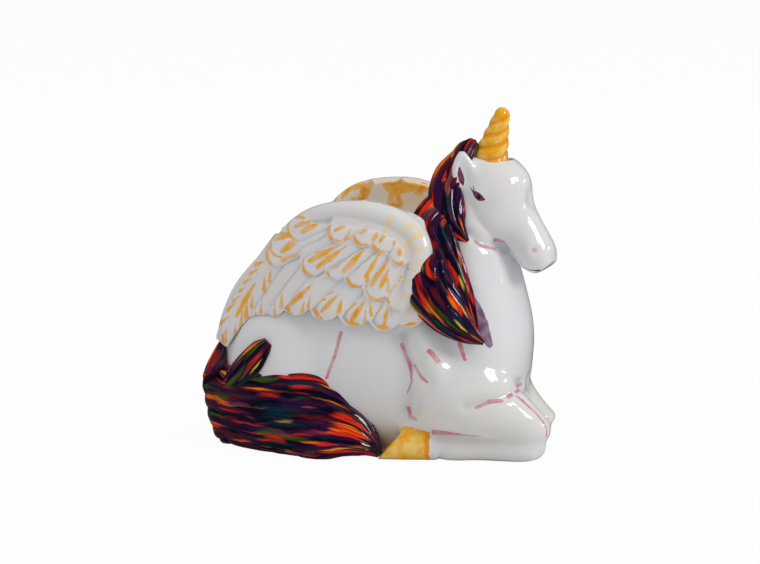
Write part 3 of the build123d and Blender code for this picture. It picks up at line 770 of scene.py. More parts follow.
def gold_glaze_of(name, groove_name, low, high):
    """Ochre glaze, pale where it is thin, deep orange where a value says it has gathered."""
    material, tree, shader, where = glaze(name)
    streak = ramp(tree, noise(tree, where, 170.0, 3.0), 0.35, 0.68)
    colour = over(tree, streak, GOLD, GOLD_PALE)
    rough = product(tree, noise(tree, where, 330.0, 2.0), 0.55)
    gathered = ramp(tree, sum_of(tree, value_of(tree, groove_name), rough), low, high, 0.0, 0.75)
    colour = over(tree, gathered, colour, GOLD_DEEP)
    tree.links.new(colour, shader.inputs["Base Color"])
    glaze_surface(tree, shader, where, (0.07, 0.14), 0.08)
    return material


horn_gold = gold_glaze_of("horn_gold", "groove", 0.55, 1.35)


def tree_inputs(tree, sizes):
    """Gives a geometry tree its geometry and its named sizes, and returns the sockets to feed from."""
    tree.interface.new_socket("Geometry", in_out="INPUT", socket_type="NodeSocketGeometry")
    for name in sizes:
        tree.interface.new_socket(name, in_out="INPUT", socket_type="NodeSocketFloat")
    tree.interface.new_socket("Geometry", in_out="OUTPUT", socket_type="NodeSocketGeometry")
    return tree.nodes.new("NodeGroupInput").outputs


def closing(tree, geometry, material):
    """Ends a geometry tree: smooth shading, real meshes and the material."""
    smooth = add_node(tree, "GeometryNodeSetShadeSmooth", {"Geometry": geometry})
    real = add_node(tree, "GeometryNodeRealizeInstances", {"Geometry": smooth.outputs[0]})
    painted = add_node(tree, "GeometryNodeSetMaterial", {
        "Geometry": real.outputs[0], "Material": material})
    add_node(tree, "NodeGroupOutput", {0: painted.outputs[0]})


def grown(mesh, tree, sizes):
    """The plain mesh that a geometry tree makes with these sizes."""
    piece = placed("growing", mesh)
    rule = piece.modifiers.new("rule", "NODES")
    rule.node_group = tree
    for socket in tree.interface.items_tree:
        if socket.in_out == "INPUT" and socket.name in sizes:
            rule[socket.identifier] = sizes[socket.name]
    return taken_out(piece)


def faced_outwards(mesh):
    """Turns the faces of a closed mesh to look outwards."""
    shape = bmesh.new()
    shape.from_mesh(mesh)
    bmesh.ops.recalc_face_normals(shape, faces=shape.faces)
    shape.to_mesh(mesh)
    shape.free()


horn_tree = bpy.data.node_groups.new("wound_horn", "GeometryNodeTree")
size_of = tree_inputs(horn_tree, HORN_SIZES)


def horn_maths(operation, *values):
    return maths(horn_tree, operation, *values)


# A flat sheet is rolled into the cone and its round tip, and the flutes wind up it.
sheet = add_node(horn_tree, "GeometryNodeMeshGrid", {
    "Size X": 1.0, "Size Y": 1.0, "Vertices X": HORN_RINGS, "Vertices Y": HORN_SIDES})
flat_place = add_node(horn_tree, "GeometryNodeInputPosition").outputs[0]
place = add_node(horn_tree, "ShaderNodeSeparateXYZ", {0: flat_place})
along = horn_maths("ADD", place.outputs["X"], 0.5)
turn = horn_maths("MULTIPLY", place.outputs["Y"], 2 * math.pi)
cone = horn_maths("MINIMUM", horn_maths("DIVIDE", along, CONE_SHARE), 1.0)
dome = horn_maths("MAXIMUM", horn_maths("SUBTRACT", along, CONE_SHARE), 0.0)
dome = horn_maths("MULTIPLY", dome, math.pi / 2 / (1 - CONE_SHARE))
taper = horn_maths("SUBTRACT", size_of["Tip Radius"], size_of["Base Radius"])
radius = horn_maths("MULTIPLY_ADD", taper, cone, size_of["Base Radius"])
wound = horn_maths("MULTIPLY", horn_maths("MULTIPLY", cone, size_of["Turns"]), 2 * math.pi)
phase = horn_maths("MULTIPLY", horn_maths("SUBTRACT", turn, wound), size_of["Flutes"])
ridge = horn_maths("COSINE", horn_maths("MULTIPLY", phase, 0.5))
ridge = horn_maths("ABSOLUTE", ridge)
groove = horn_maths("SUBTRACT", 1.0, horn_maths("POWER", ridge, 1.6))
fading = horn_maths("COSINE", dome)
dip = horn_maths("MULTIPLY", groove, size_of["Flute Depth"])
dip = horn_maths("MULTIPLY", dip, fading)
radius = horn_maths("MULTIPLY", radius, horn_maths("SUBTRACT", 1.0, dip))
radius = horn_maths("MULTIPLY", radius, fading)
closed_root = horn_maths("MULTIPLY", along, HORN_RINGS - 1.0)
radius = horn_maths("MULTIPLY", radius, horn_maths("MINIMUM", closed_root, 1.0))
whole = horn_maths("ADD", size_of["Length"], size_of["Root"])
rise = horn_maths("SUBTRACT", horn_maths("MULTIPLY", whole, cone), size_of["Root"])
rise = horn_maths("MULTIPLY_ADD", horn_maths("SINE", dome), size_of["Tip Radius"], rise)
spot = add_node(horn_tree, "ShaderNodeCombineXYZ", {
    "X": horn_maths("MULTIPLY", radius, horn_maths("COSINE", turn)),
    "Y": horn_maths("MULTIPLY", radius, horn_maths("SINE", turn)), "Z": rise})
kept = add_node(horn_tree, "GeometryNodeStoreNamedAttribute", {
    "Geometry": sheet.outputs["Mesh"], "Name": "groove",
    "Value": horn_maths("MULTIPLY", groove, fading)}, data_type="FLOAT", domain="POINT")
shaped = add_node(horn_tree, "GeometryNodeSetPosition", {
    "Geometry": kept.outputs[0], "Position": spot.outputs[0]})
merged = add_node(horn_tree, "GeometryNodeMergeByDistance", {
    "Geometry": shaped.outputs[0], "Distance": 0.01 * MM})
closing(horn_tree, merged.outputs[0], horn_gold)
horn = grown(bpy.data.meshes.new("horn"), horn_tree, HORN_SIZES)
stand_up = Matrix.Translation(Vector(HORN_SEAT - HEAD_ROOT) * MM) @ Matrix.Rotation(HORN_LEAN, 4, "Y")
with_head = Matrix.Translation(Vector(HEAD_ROOT) * MM) @ Matrix.Rotation(HEAD_TURN, 4, "Z")
horn.transform(with_head @ stand_up)
faced_outwards(horn)
finished("spiral_horn", horn, horn_gold, "gold_glaze", "horn")

# Hooves
# Solid castings that flare from the coronet to a slanted, hollowed sole. They are washed with the
# horn's ochre, which gathers orange round the rim and in the sole.
hoof_gold = gold_glaze_of("hoof_gold", "gathered", 0.62, 1.0)
BAND_MIDDLE, BAND_HALF = 0.03, 0.07
for hoof, (start, ahead, _) in enumerate(HOOF_PLACES):
    part = closed_part(skin, labels, len(WHITE_CASTINGS) + hoof, whole_normals)
    along = (points_of(part)[:, :2] - np.array(start)) @ np.array(ahead) / HOOF_LENGTH
    band = np.exp(-((along - CORONET / HOOF_LENGTH - BAND_MIDDLE) / BAND_HALF) ** 2)
    dips = np.clip(hollowness(part, 60, 0.35), 0, 1)
    rim = np.clip(-hollowness(part, 25, 0.5), 0, 1)
    set_values(part, "gathered", np.clip(0.85 * band + dips + 0.35 * rim, 0, 1))
    finished("glazed_" + HOOVES[hoof], part, hoof_gold, "gold_glaze", HOOVES[hoof])

# Wings
# Each wing is one casting: three rows of round-tipped feathers below a rolled leading edge. It is
# white under the glaze, with ochre brush strokes on the feathers' tips, shafts and barbs.
WING_GRAIN = 0.5
WING_PASSES, NOTCH_PASSES, PIT_PASSES = 22, 60, 20
WING_REAR, WING_FOOT = -68.0, 48.0
WING_LENGTH, WING_HEIGHT = 106.0, 66.0
FEATHER_WIDTHS = (14.0, 12.0, 11.2)
FEATHER_ROWS = (
    (
        ((0.05, 0.04), (0.34, 0.70)), ((0.144, 0.12), (0.42, 0.70)), ((0.24, 0.20), (0.50, 0.70)),
        ((0.365, 0.24), (0.61, 0.62)), ((0.51, 0.215), (0.73, 0.58)), ((0.654, 0.18), (0.81, 0.56)),
        ((0.80, 0.16), (0.875, 0.58)), ((0.915, 0.19), (0.90, 0.60)),
    ),
    (
        ((0.364, 0.768), (0.53, 0.90)), ((0.282, 0.647), (0.50, 0.83)),
        ((0.27, 0.59), (0.62, 0.86)), ((0.45, 0.54), (0.72, 0.82)), ((0.565, 0.52), (0.77, 0.80)),
        ((0.66, 0.47), (0.81, 0.78)), ((0.76, 0.38), (0.86, 0.72)), ((0.865, 0.32), (0.90, 0.70)),
    ),
    (
        ((0.56, 0.78), (0.72, 0.95)), ((0.68, 0.75), (0.79, 0.93)), ((0.77, 0.70), (0.84, 0.90)),
        ((0.86, 0.62), (0.90, 0.83)),
    ),
)
ROLL_PATH = (
    (0.50, 0.93), (0.63, 0.94), (0.78, 0.91), (0.87, 0.85),
    (0.93, 0.75), (0.945, 0.63), (0.93, 0.51), (0.905, 0.40), (0.88, 0.30),
)
ROLL_REACH = 6.0


def wing_place(share):
    """A place on the wing seen from the side, in millimetres."""
    return np.array((WING_REAR + share[0] * WING_LENGTH, WING_FOOT + share[1] * WING_HEIGHT))


def feather_list():
    """Every feather, upper rows first: its tip, its root, its width and its row."""
    feathers = []
    for row in (2, 1, 0):
        for tip, root in FEATHER_ROWS[row]:
            feathers.append((wing_place(tip), wing_place(root), FEATHER_WIDTHS[row], row))
    return feathers


def feather_owners(flat):
    """Which feather lies on top at each place, and where on it: from the tip, and from the shaft."""
    top = np.full(len(flat), -1)
    from_tip = np.zeros(len(flat))
    from_shaft = np.zeros(len(flat))
    for number, (tip, root, width, _) in enumerate(feather_list()):
        along = (root - tip) / np.linalg.norm(root - tip)
        aside = np.array((along[1], -along[0]))
        end = tip + along * width / 2
        gap = stroke_distance(flat, (end, root), (width, width))
        mine = (gap < 0) & (top < 0)
        top[mine] = number
        from_tip[mine] = (flat[mine] - tip) @ along
        from_shaft[mine] = (flat[mine] - tip) @ aside
    return top, from_tip, from_shaft


def feather_relief(top, from_tip, from_shaft):
    """Height of each feather's own form: a bowed vane that overlaps the next one, and a raised shaft."""
    relief = np.zeros(len(top))
    for number, (_, _, width, row) in enumerate(feather_list()):
        mine = top == number
        side = from_shaft[mine] / (width / 2)
        shaft = 0.3 * np.exp(-(from_shaft[mine] / 0.8) ** 2)
        relief[mine] = 0.9 * (1 - side ** 2) + 0.3 * side + shaft * smooth_share(from_tip[mine], 2.0, 6.0)
        if row == 0:
            relief[mine] -= 1.8 * (1 - smooth_share(from_tip[mine], 0.0, 9.0))
    return relief


def feather_paint(top, from_tip, from_shaft, seed):
    """Distance from the ochre strokes, below zero inside them."""
    chance = np.random.default_rng(seed)
    gap = np.full(len(top), FAR)
    flat = np.stack((from_tip, from_shaft), axis=1)
    for number, (tip, root, width, row) in enumerate(feather_list()):
        mine = top == number
        local = flat[mine]
        long = np.linalg.norm(root - tip)
        place_in_row = sum(1 for other in feather_list()[:number] if other[3] == row)
        rear = row == 0 and place_in_row < 3
        reach = width / 2 - (1.6 if row == 0 else 0.7)
        start, end = -chance.uniform(0.8, 1.5), chance.uniform(0.5, 1.4)
        if row == 0:
            start, end = -chance.uniform(0.4, 0.9), chance.uniform(0.3, 0.9)
        arc = [(width / 2 - reach * math.cos(a), reach * math.sin(a)) for a in np.linspace(start, end, 9)]
        widest = chance.uniform(3.0, 4.4) if row == 0 else chance.uniform(1.5, 2.4)
        heavy = chance.uniform(0.2, 0.8)
        swell = np.exp(-((np.linspace(0, 1, 9) - heavy) / 0.42) ** 2)
        best = stroke_distance(local, arc, widest * (0.25 + 0.75 * swell))
        if rear:
            blob = ((0.8, 0.0), (4.0, chance.uniform(-0.8, 0.8)), (8.5, 0.0))
            best = stroke_distance(local, blob, (2.0, 4.2, 0.6))
        lines = 2 if row == 1 else 1
        for line in range(lines):
            begin = chance.uniform(3.5, 6.0) + 2.5 * line + (8.0 if rear else 0.0)
            finish = begin + min(chance.uniform(0.35, 0.65) * long, 17.0)
            sway = chance.uniform(-1.5, 1.5) + (0.0 if lines == 1 else (-2.4, 2.6)[line])
            thick = chance.uniform(2.2, 3.6)
            shaft = ((begin, sway), (begin * 0.6 + finish * 0.4, sway * 0.8), (finish, sway * 0.4))
            best = np.minimum(best, stroke_distance(local, shaft, (thick * 0.6, thick, 0.4)))
        barbs = (7 if place_in_row == 0 else 2) if row == 0 else 1
        for barb in range(barbs):
            at = 7.5 + 5.0 * barb + chance.uniform(-0.8, 0.8)
            for way in (-1, 1):
                if chance.random() < 0.3:
                    continue
                inner = (at + 3.6, way * chance.uniform(2.0, 2.8))
                outer = (at - 1.2, way * chance.uniform(4.6, 5.8))
                thick = chance.uniform(1.6, 2.6)
                best = np.minimum(best, stroke_distance(local, (inner, outer), (0.4, thick)))
        gap[mine] = best
    return gap


# The rims stay bare of paint. The notch behind the leading edge is sponged soft, the rear tip hangs
# lower than the mould gives it, and the top of the far wing is drawn up a little.
INNER_STROKES = 95
RIM_BARE = 6.0
NOTCH = (0.275, 0.70)
NOTCH_REACH = (2.0, 7.0)
REAR_TIP = (-63.0, 51.0)
REAR_REACH = (3.0, 20.0)
REAR_HANG = (-1.2, -4.0, -5.5)
FAR_RISE, FAR_TOP = 2.2, (92.0, 112.0)


def inner_paint(flat, seed):
    """Loose curved strokes over a wing's inner face, along its feathers."""
    chance = np.random.default_rng(seed)
    gap = np.full(len(flat), FAR)
    for _ in range(INNER_STROKES):
        middle = wing_place((chance.uniform(0.02, 0.97), chance.uniform(0.1, 1.02)))
        turn = chance.uniform(0.1, 1.3)
        half = chance.uniform(3.0, 8.0) * np.array((math.cos(turn), math.sin(turn)))
        bow = chance.uniform(-3.5, 3.5) * np.array((-math.sin(turn), math.cos(turn)))
        thick = chance.uniform(1.6, 4.4)
        path = (middle - half, middle - half * 0.4 + bow, middle + half * 0.4 + bow, middle + half)
        gap = np.minimum(gap, stroke_distance(flat, path, (0.5, thick, thick * 0.8, 0.5)))
    return gap


ROLL_STROKES = (0.42, 0.52, 0.585, 0.64, 0.71, 0.76, 0.83, 0.9)


def roll_paint(flat, seed):
    """Short pale strokes laid across the rolled leading edge."""
    chance = np.random.default_rng(seed)
    path = np.array([wing_place(share) for share in ROLL_PATH])
    steps = np.concatenate(([0.0], np.cumsum(np.linalg.norm(np.diff(path, axis=0), axis=1))))
    gap = np.full(len(flat), FAR)
    for share in ROLL_STROKES:
        at = share * steps[-1]
        middle = np.array([np.interp(at, steps, path[:, axis]) for axis in (0, 1)])
        ahead = np.array([np.interp(at + 1.0, steps, path[:, axis]) for axis in (0, 1)]) - middle
        aside = np.array((ahead[1], -ahead[0])) / np.linalg.norm(ahead)
        inner = middle + aside * chance.uniform(-4.5, -1.0)
        outer = middle + aside * chance.uniform(1.5, 4.5)
        thick = chance.uniform(2.0, 4.0)
        gap = np.minimum(gap, stroke_distance(flat, (inner, outer), (thick, thick * 0.6)))
    return gap


FEATHER_GOLD = linear(243, 175, 44)
FEATHER_WHITE = linear(223, 226, 233)
FEATHER_SHADE = linear(188, 193, 207)
feather_glaze, tree, shader, where = glaze("feather_glaze")
colour = over(tree, ramp(tree, noise(tree, where, 30.0, 2.0), 0.4, 0.75), FEATHER_WHITE, GLAZE_WHITE)
# Painted shade: the hollows between the feathers are laid over with a cool grey.
hollow_shade = ramp(tree, value_of(tree, "hollow"), -0.1, 0.7, 0.0, 0.9)
colour = over(tree, hollow_shade, colour, FEATHER_SHADE)
thin = ramp(tree, noise(tree, where, 70.0, 2.0), 0.3, 0.65, 0.35, 1.0)
colour = over(tree, product(tree, value_of(tree, "wash"), thin), colour, GOLD_PALE)
colour = over(tree, brushed(tree, where, "pale_gold", 1.4, 0.5, (0.15, 0.6)), colour, GOLD_PALE)
colour = over(tree, brushed(tree, where, "gold", 1.0, 0.35, (0.6, 1.0)), colour, FEATHER_GOLD)
thick = ramp(tree, value_of(tree, "gold"), -1.5, -0.7, 0.8, 0.0)
thick = product(tree, thick, ramp(tree, noise(tree, where, 200.0, 2.0), 0.45, 0.6))
colour = over(tree, thick, colour, GOLD_DEEP)
tree.links.new(colour, shader.inputs["Base Color"])
glaze_surface(tree, shader, where, (0.05, 0.10), 0.05)

for name, side, seed in (("right_wing", 1.0, 5), ("left_wing", -1.0, 11)):
    wing = sponged(clay_of((name,), WING_GRAIN), WING_PASSES)
    points = points_of(wing)
    normals = normals_of(wing)
    flat = points[:, (0, 2)]
    outside = smooth_share(-normals[:, 1] * side, 0.0, 0.35)
    roll = [wing_place(share) for share in ROLL_PATH]
    roll_gap = stroke_distance(flat, roll, [ROLL_REACH * 2] * len(roll))
    painted_roll = (roll_gap < -0.5) & (outside > 0.2)
    top, from_tip, from_shaft = feather_owners(flat)
    relief = feather_relief(top, from_tip, from_shaft) * smooth_share(roll_gap, -1.5, 1.0)
    points = points + normals * (relief * (0.35 + 0.65 * outside))[:, None]
    move_points(wing, points)
    wing = sponged(wing, 4)
    points = points_of(wing)
    hanging = 1 - smooth_share(np.linalg.norm(flat - np.array(REAR_TIP), axis=1), *REAR_REACH)
    points = points + hanging[:, None] * (np.array(REAR_HANG) * (1.0, side, 1.0))
    if side < 0:
        points[:, 2] += FAR_RISE * smooth_share(points[:, 2], *FAR_TOP)
    move_points(wing, points)
    from_notch = np.linalg.norm(flat - wing_place(NOTCH), axis=1)
    wing = sponged(wing, NOTCH_PASSES, 1 - smooth_share(from_notch, *NOTCH_REACH))
    wing = sponged(wing, PIT_PASSES, smooth_share(hollowness(wing, 10, 0.3), 0.55, 1.0))
    paint = feather_paint(top, from_tip, from_shaft, seed)
    paint = np.where(outside > 0.2, paint, inner_paint(flat, seed + 1) - 0.7)
    paint = paint + RIM_BARE * (1 - smooth_share(np.abs(normals[:, 1]), 0.25, 0.5))
    pale = roll_paint(flat, seed + 2)
    set_values(wing, "gold", np.where(painted_roll, FAR, paint))
    set_values(wing, "pale_gold", np.where(painted_roll, pale, FAR))
    set_values(wing, "wash", 0.15 + 0.37 * smooth_share(normals[:, 1] * side, 0.0, 0.5))
    # How deep each point lies in a hollow, for the painted shade of the feathers.
    set_values(wing, "hollow", hollowness(wing, 25, 0.3))
    finished("feathered_" + name, wing, feather_glaze, "feather_glaze", name)

# Mane
# A crest from the poll down the back of the neck, and three locks that fall to the right of it.
# They are pressed solid, combed into strands and painted in dark and bright streaks.
LOCK_RINGS = 150
LOCK_SIDES = 168
UV_UNIT = 100.0
HAIR_NAVY = linear(10, 6, 28)
HAIR_EDGE = linear(40, 18, 60)
HAIR_EDGE_RED = linear(150, 24, 34)
STREAK_EDGE = 0.045
HAIR_COLOURS = (
    ("plum", linear(50, 16, 58), 0.51, 3.0),
    ("maroon", linear(92, 20, 26), 0.59, 11.0),
    ("teal", linear(6, 46, 62), 0.615, 67.0),
    ("green", linear(66, 90, 22), 0.64, 59.0),
    ("scarlet", linear(232, 46, 16), 0.605, 23.0),
    ("orange", linear(250, 124, 14), 0.645, 37.0),
    ("mauve", linear(92, 48, 84), 0.67, 83.0),
    ("yellow", linear(242, 190, 48), 0.71, 41.0),
)


def noise_colour(tree, where):
    sockets = {"Vector": where, "Scale": 140.0, "Detail": 2.0}
    return add_node(tree, "ShaderNodeTexNoise", sockets).outputs["Color"]


def hair_glaze_of(name, shift, grain):
    """Glaze over hair: dark ground with brush streaks along the strands, and painted shade in the
    furrows.
    """
    material, tree, shader, where = glaze(name)
    lay = add_node(tree, "ShaderNodeUVMap", uv_map="lay").outputs["UV"]
    waver = add_node(tree, "ShaderNodeVectorMath", {0: noise_colour(tree, where), 1: (0.5, 0.5, 0.5)},
                     operation="SUBTRACT").outputs[0]
    waver = add_node(tree, "ShaderNodeVectorMath", {0: waver, 1: (0.0, 0.02, 0.0)},
                     operation="MULTIPLY").outputs[0]
    lay = add_node(tree, "ShaderNodeVectorMath", {0: lay, 1: waver}, operation="ADD").outputs[0]
    colour = HAIR_NAVY
    for _, shade, level, seed in HAIR_COLOURS:
        mapping = add_node(tree, "ShaderNodeMapping", {
            "Vector": lay, "Location": (seed, seed * 0.7 + shift, shift), "Scale": grain})
        streak = noise(tree, mapping.outputs[0], 1.0, 1.0)
        share = ramp(tree, streak, level - STREAK_EDGE, level + STREAK_EDGE, 0.0, 0.95)
        colour = over(tree, share, colour, shade)
    bristles = add_node(tree, "ShaderNodeMapping", {
        "Vector": lay, "Location": (shift, 5.0, 0.0), "Scale": (grain[0], grain[1] * 2.6, 1.0)})
    gaps = ramp(tree, noise(tree, bristles.outputs[0], 1.0, 1.0), 0.34, 0.48, 0.6, 0.0)
    colour = over(tree, gaps, colour, HAIR_NAVY)
    # Painted shade: the furrows between the strands are darkened towards the navy ground.
    furrow_shade = ramp(tree, value_of(tree, "groove"), 0.55, 1.0, 0.0, 0.5)
    colour = over(tree, furrow_shade, colour, HAIR_NAVY)
    rim = ramp(tree, value_of(tree, "rim"), 0.90, 0.985, 0.0, 0.9)
    redder = ramp(tree, noise(tree, where, 60.0, 1.0), 0.45, 0.6)
    edge = over(tree, redder, HAIR_EDGE, HAIR_EDGE_RED)
    colour = over(tree, rim, colour, edge)
    tree.links.new(colour, shader.inputs["Base Color"])
    shader.inputs["IOR"].default_value = 1.4
    glaze_surface(tree, shader, where, (0.06, 0.12), 0.05)
    return material


mane_glaze = hair_glaze_of("mane_glaze", 0.0, (4.8, 24.0, 1.0))

STRAND_SIZES = {"Strands": 12.0, "Depth": 0.9 * MM, "Sway": 0.2, "Lay": 0.0}
DRIFT_ALONG, DRIFT_AROUND = 45.0, 4.0


def strand_rule(name, material):
    """Geometry tree that combs furrows into a smooth lock, along the way that it lies."""
    tree = bpy.data.node_groups.new(name, "GeometryNodeTree")
    size_of = tree_inputs(tree, STRAND_SIZES)

    def named(layer):
        node = add_node(tree, "GeometryNodeInputNamedAttribute", {"Name": layer}, data_type="FLOAT")
        return node.outputs[0]

    around, along, room = named("around"), named("along"), named("room")
    spot = add_node(tree, "ShaderNodeCombineXYZ", {
        "X": product(tree, along, DRIFT_ALONG),
        "Y": product(tree, around, DRIFT_AROUND), "Z": size_of["Lay"]})
    drift = add_node(tree, "ShaderNodeTexNoise", {"Vector": spot.outputs[0], "Scale": 1.0, "Detail": 1.0})
    drift = product(tree, maths(tree, "SUBTRACT", drift.outputs["Fac"], 0.5), size_of["Sway"])
    phase = product(tree, sum_of(tree, around, drift), size_of["Strands"])
    phase = product(tree, phase, math.pi)
    broad = maths(tree, "POWER", maths(tree, "ABSOLUTE", maths(tree, "SINE", phase)), 0.7)
    fine = maths(tree, "ABSOLUTE", maths(tree, "SINE", product(tree, phase, 3.0)))
    ridge = maths(tree, "MULTIPLY_ADD", broad, 0.9, product(tree, fine, 0.1))
    groove = maths(tree, "SUBTRACT", 1.0, ridge)
    depth = product(tree, product(tree, groove, size_of["Depth"]), room)
    outwards = add_node(tree, "GeometryNodeInputNormal").outputs[0]
    sink = add_node(tree, "ShaderNodeVectorMath", {
        0: outwards, "Scale": product(tree, depth, -1.0)}, operation="SCALE")
    kept = add_node(tree, "GeometryNodeStoreNamedAttribute", {
        "Geometry": size_of["Geometry"], "Name": "groove", "Value": groove},
        data_type="FLOAT", domain="POINT")
    combed = add_node(tree, "GeometryNodeSetPosition", {
        "Geometry": kept.outputs[0], "Offset": sink.outputs[0]})
    closing(tree, combed.outputs[0], material)
    return tree


def eased_rows(rows, count):
    """Rows of numbers made many, on a smooth curve through the given ones."""
    rows = np.array(rows)
    padded = np.vstack((2 * rows[0] - rows[1], rows, 2 * rows[-1] - rows[-2]))
    places = np.linspace(0, len(rows) - 1, count)
    index = np.minimum(places.astype(int), len(rows) - 2)
    share = (places - index)[:, None]
    before, start, end, after = (padded[index + step] for step in range(4))
    curve = 2 * start + (end - before) * share
    curve = curve + (2 * before - 5 * start + 4 * end - after) * share ** 2
    return (curve + (3 * start - before - 3 * end + after) * share ** 3) / 2


def lock_mesh(rows, outwards):
    """A smooth closed lock of hair through rows of place, half width and half thickness."""
    rows = eased_rows(rows, LOCK_RINGS)
    outwards = eased_rows(outwards, LOCK_RINGS)
    centres, halves = rows[:, :3], np.maximum(rows[:, 3:], 0.25)
    tangents = np.gradient(centres, axis=0)
    tangents /= np.linalg.norm(tangents, axis=1)[:, None]
    across = np.cross(outwards, tangents)
    across /= np.linalg.norm(across, axis=1)[:, None]
    up = np.cross(tangents, across)
    angles = -math.pi / 2 + np.arange(LOCK_SIDES) * 2 * math.pi / LOCK_SIDES
    sideways = halves[:, :1, None] * np.cos(angles)[None, :, None]
    upwards = halves[:, 1:, None] * np.sin(angles)[None, :, None]
    rings = centres[:, None, :] + across[:, None, :] * sideways
    rings = rings + up[:, None, :] * upwards
    points = np.vstack((rings.reshape(-1, 3), centres[:1], centres[-1:]))
    steps = np.concatenate(([0.0], np.cumsum(np.linalg.norm(np.diff(centres, axis=0), axis=1))))
    faces, corners = [], []
    girth = 2 * math.pi * math.sqrt((halves ** 2).mean(axis=1).max())

    def lay(ring, side):
        return (steps[ring] / UV_UNIT, side / LOCK_SIDES * girth / UV_UNIT)

    for ring in range(LOCK_RINGS - 1):
        for side in range(LOCK_SIDES):
            after = (side + 1) % LOCK_SIDES
            here, there = ring * LOCK_SIDES, (ring + 1) * LOCK_SIDES
            faces.append((here + side, here + after, there + after, there + side))
            corners += [lay(ring, side), lay(ring, side + 1)]
            corners += [lay(ring + 1, side + 1), lay(ring + 1, side)]
    first, last = LOCK_RINGS * LOCK_SIDES, LOCK_RINGS * LOCK_SIDES + 1
    end = (LOCK_RINGS - 1) * LOCK_SIDES
    for side in range(LOCK_SIDES):
        after = (side + 1) % LOCK_SIDES
        faces.append((first, after, side))
        corners += [lay(0, side), lay(0, side + 1), lay(0, side)]
        faces.append((last, end + side, end + after))
        corners += [lay(LOCK_RINGS - 1, side)] * 2 + [lay(LOCK_RINGS - 1, side + 1)]
    mesh = bpy.data.meshes.new("lock")
    mesh.from_pydata((points * MM).tolist(), [], faces)
    mesh.uv_layers.new(name="lay").data.foreach_set("uv", np.array(corners).ravel())
    around = np.append(np.tile(np.arange(LOCK_SIDES) / LOCK_SIDES, LOCK_RINGS), (0.0, 0.0))
    set_values(mesh, "around", around)
    set_values(mesh, "along", np.append(np.repeat(steps * MM, LOCK_SIDES), (0.0, steps[-1] * MM)))
    room = np.clip(halves.min(axis=1) / halves.min(axis=1).max(), 0, 1)
    set_values(mesh, "room", np.append(np.repeat(room, LOCK_SIDES), (0.0, 0.0)))
    set_values(mesh, "rim", np.append(np.tile(np.abs(np.cos(angles)), LOCK_RINGS), (1.0, 1.0)))
    faced_outwards(mesh)
    return mesh


def combed_lock(name, rows, outwards, rule, material, node, **sizes):
    """One lock of hair, lofted smooth and then combed."""
    if np.ndim(outwards) == 1:
        outwards = [outwards] * len(rows)
    hair = grown(lock_mesh(rows, outwards), rule, {**STRAND_SIZES, **sizes})
    for layer in ("around", "along", "room"):
        hair.attributes.remove(hair.attributes[layer])
    points = points_of(hair)
    points[:, 2] = np.maximum(points[:, 2], 0.0)
    move_points(hair, points)
    finished(name, hair, material, "hair_glaze", node)


CREST = (
    (46.0, 0.8, 136.8, 4.0, 2.8), (44.0, -3.2, 134.6, 8.0, 5.3), (40.8, -5.9, 126.3, 10.8, 6.0),
    (35.6, -8.6, 114.0, 11.5, 6.0), (31.4, -11.2, 101.6, 10.8, 5.5), (28.3, -13.9, 90.9, 8.6, 4.4),
    (27.3, -16.5, 81.8, 4.8, 2.8),
)
UPPER_LOCK = (
    (41.0, -3.6, 133.6, 3.4, 2.6), (37.5, -10.6, 124.7, 6.4, 4.4), (38.7, -16.2, 114.8, 8.4, 4.6),
    (42.9, -19.8, 104.9, 7.0, 4.0), (50.1, -20.5, 97.5, 1.0, 1.0),
)
MIDDLE_LOCK = (
    (39.2, -8.6, 116.4, 6.7, 3.7), (34.0, -21.8, 104.9, 9.6, 5.0), (38.7, -26.4, 93.4, 10.1, 5.0),
    (45.4, -29.4, 81.8, 8.6, 4.6), (52.2, -31.0, 70.2, 5.8, 3.7), (57.9, -31.0, 60.3, 1.0, 1.0),
)
LOWER_LOCK = (
    (37.7, -15.8, 99.9, 6.7, 3.7), (32.5, -29.0, 90.0, 10.8, 5.7), (36.1, -34.0, 80.1, 12.0, 6.4),
    (43.9, -36.3, 70.2, 10.8, 5.9), (53.0, -35.6, 61.4, 6.7, 4.0), (61.6, -33.0, 55.4, 1.0, 1.0),
)
mane_rule = strand_rule("combed_mane", mane_glaze)
outward = np.array((-0.8, -0.3, 0.5))
beside = np.array((0.0, -1.0, 0.0))
MANE_LOCKS = (
    ("mane_crest_hair", "mane_crest", CREST, outward, 9.0),
    ("mane_upper_hair", "mane_upper_lock", UPPER_LOCK, beside, 8.0),
    ("mane_middle_hair", "mane_middle_lock", MIDDLE_LOCK, beside, 9.0),
    ("mane_lower_hair", "mane_lower_lock", LOWER_LOCK, beside, 10.0),
)
for number, (name, node, rows, facing, strands) in enumerate(MANE_LOCKS, 1):
    combed_lock(name, rows, facing, mane_rule, mane_glaze, node, Strands=strands, Lay=float(number))

# Tail
# A long hank of hair that sweeps round the right haunch and lies along the table to the hoof, with
# one end that curls up on the haunch. It is pressed, combed and painted as the mane is.
TAIL = (
    (-62.5, -5.0, 44.1, 7.0, 5.0), (-65.2, -13.0, 36.0, 11.0, 6.4), (-66.0, -25.0, 20.0, 18.4, 7.5),
    (-56.2, -34.5, 18.6, 18.4, 7.5), (-38.0, -39.5, 18.5, 19.0, 7.0), (-18.0, -40.0, 17.6, 19.6, 6.6),
    (-1.0, -38.5, 13.1, 15.0, 5.4), (9.1, -36.5, 7.2, 8.0, 4.0), (14.5, -35.0, 1.8, 2.0, 1.5),
)
CURL = (
    (-58.4, -35.9, 27.0, 4.0, 3.3), (-51.1, -39.0, 33.3, 6.3, 4.8), (-44.5, -40.6, 40.5, 6.4, 4.6),
    (-39.9, -40.6, 46.4, 5.4, 3.8), (-36.4, -40.6, 50.6, 2.4, 1.6),
)
HAUNCH_MIDDLE = np.array((-33.0, -23.4))
tail_glaze = hair_glaze_of("tail_glaze", 13.0, (3.4, 28.0, 1.0))
tail_rule = strand_rule("combed_tail", tail_glaze)
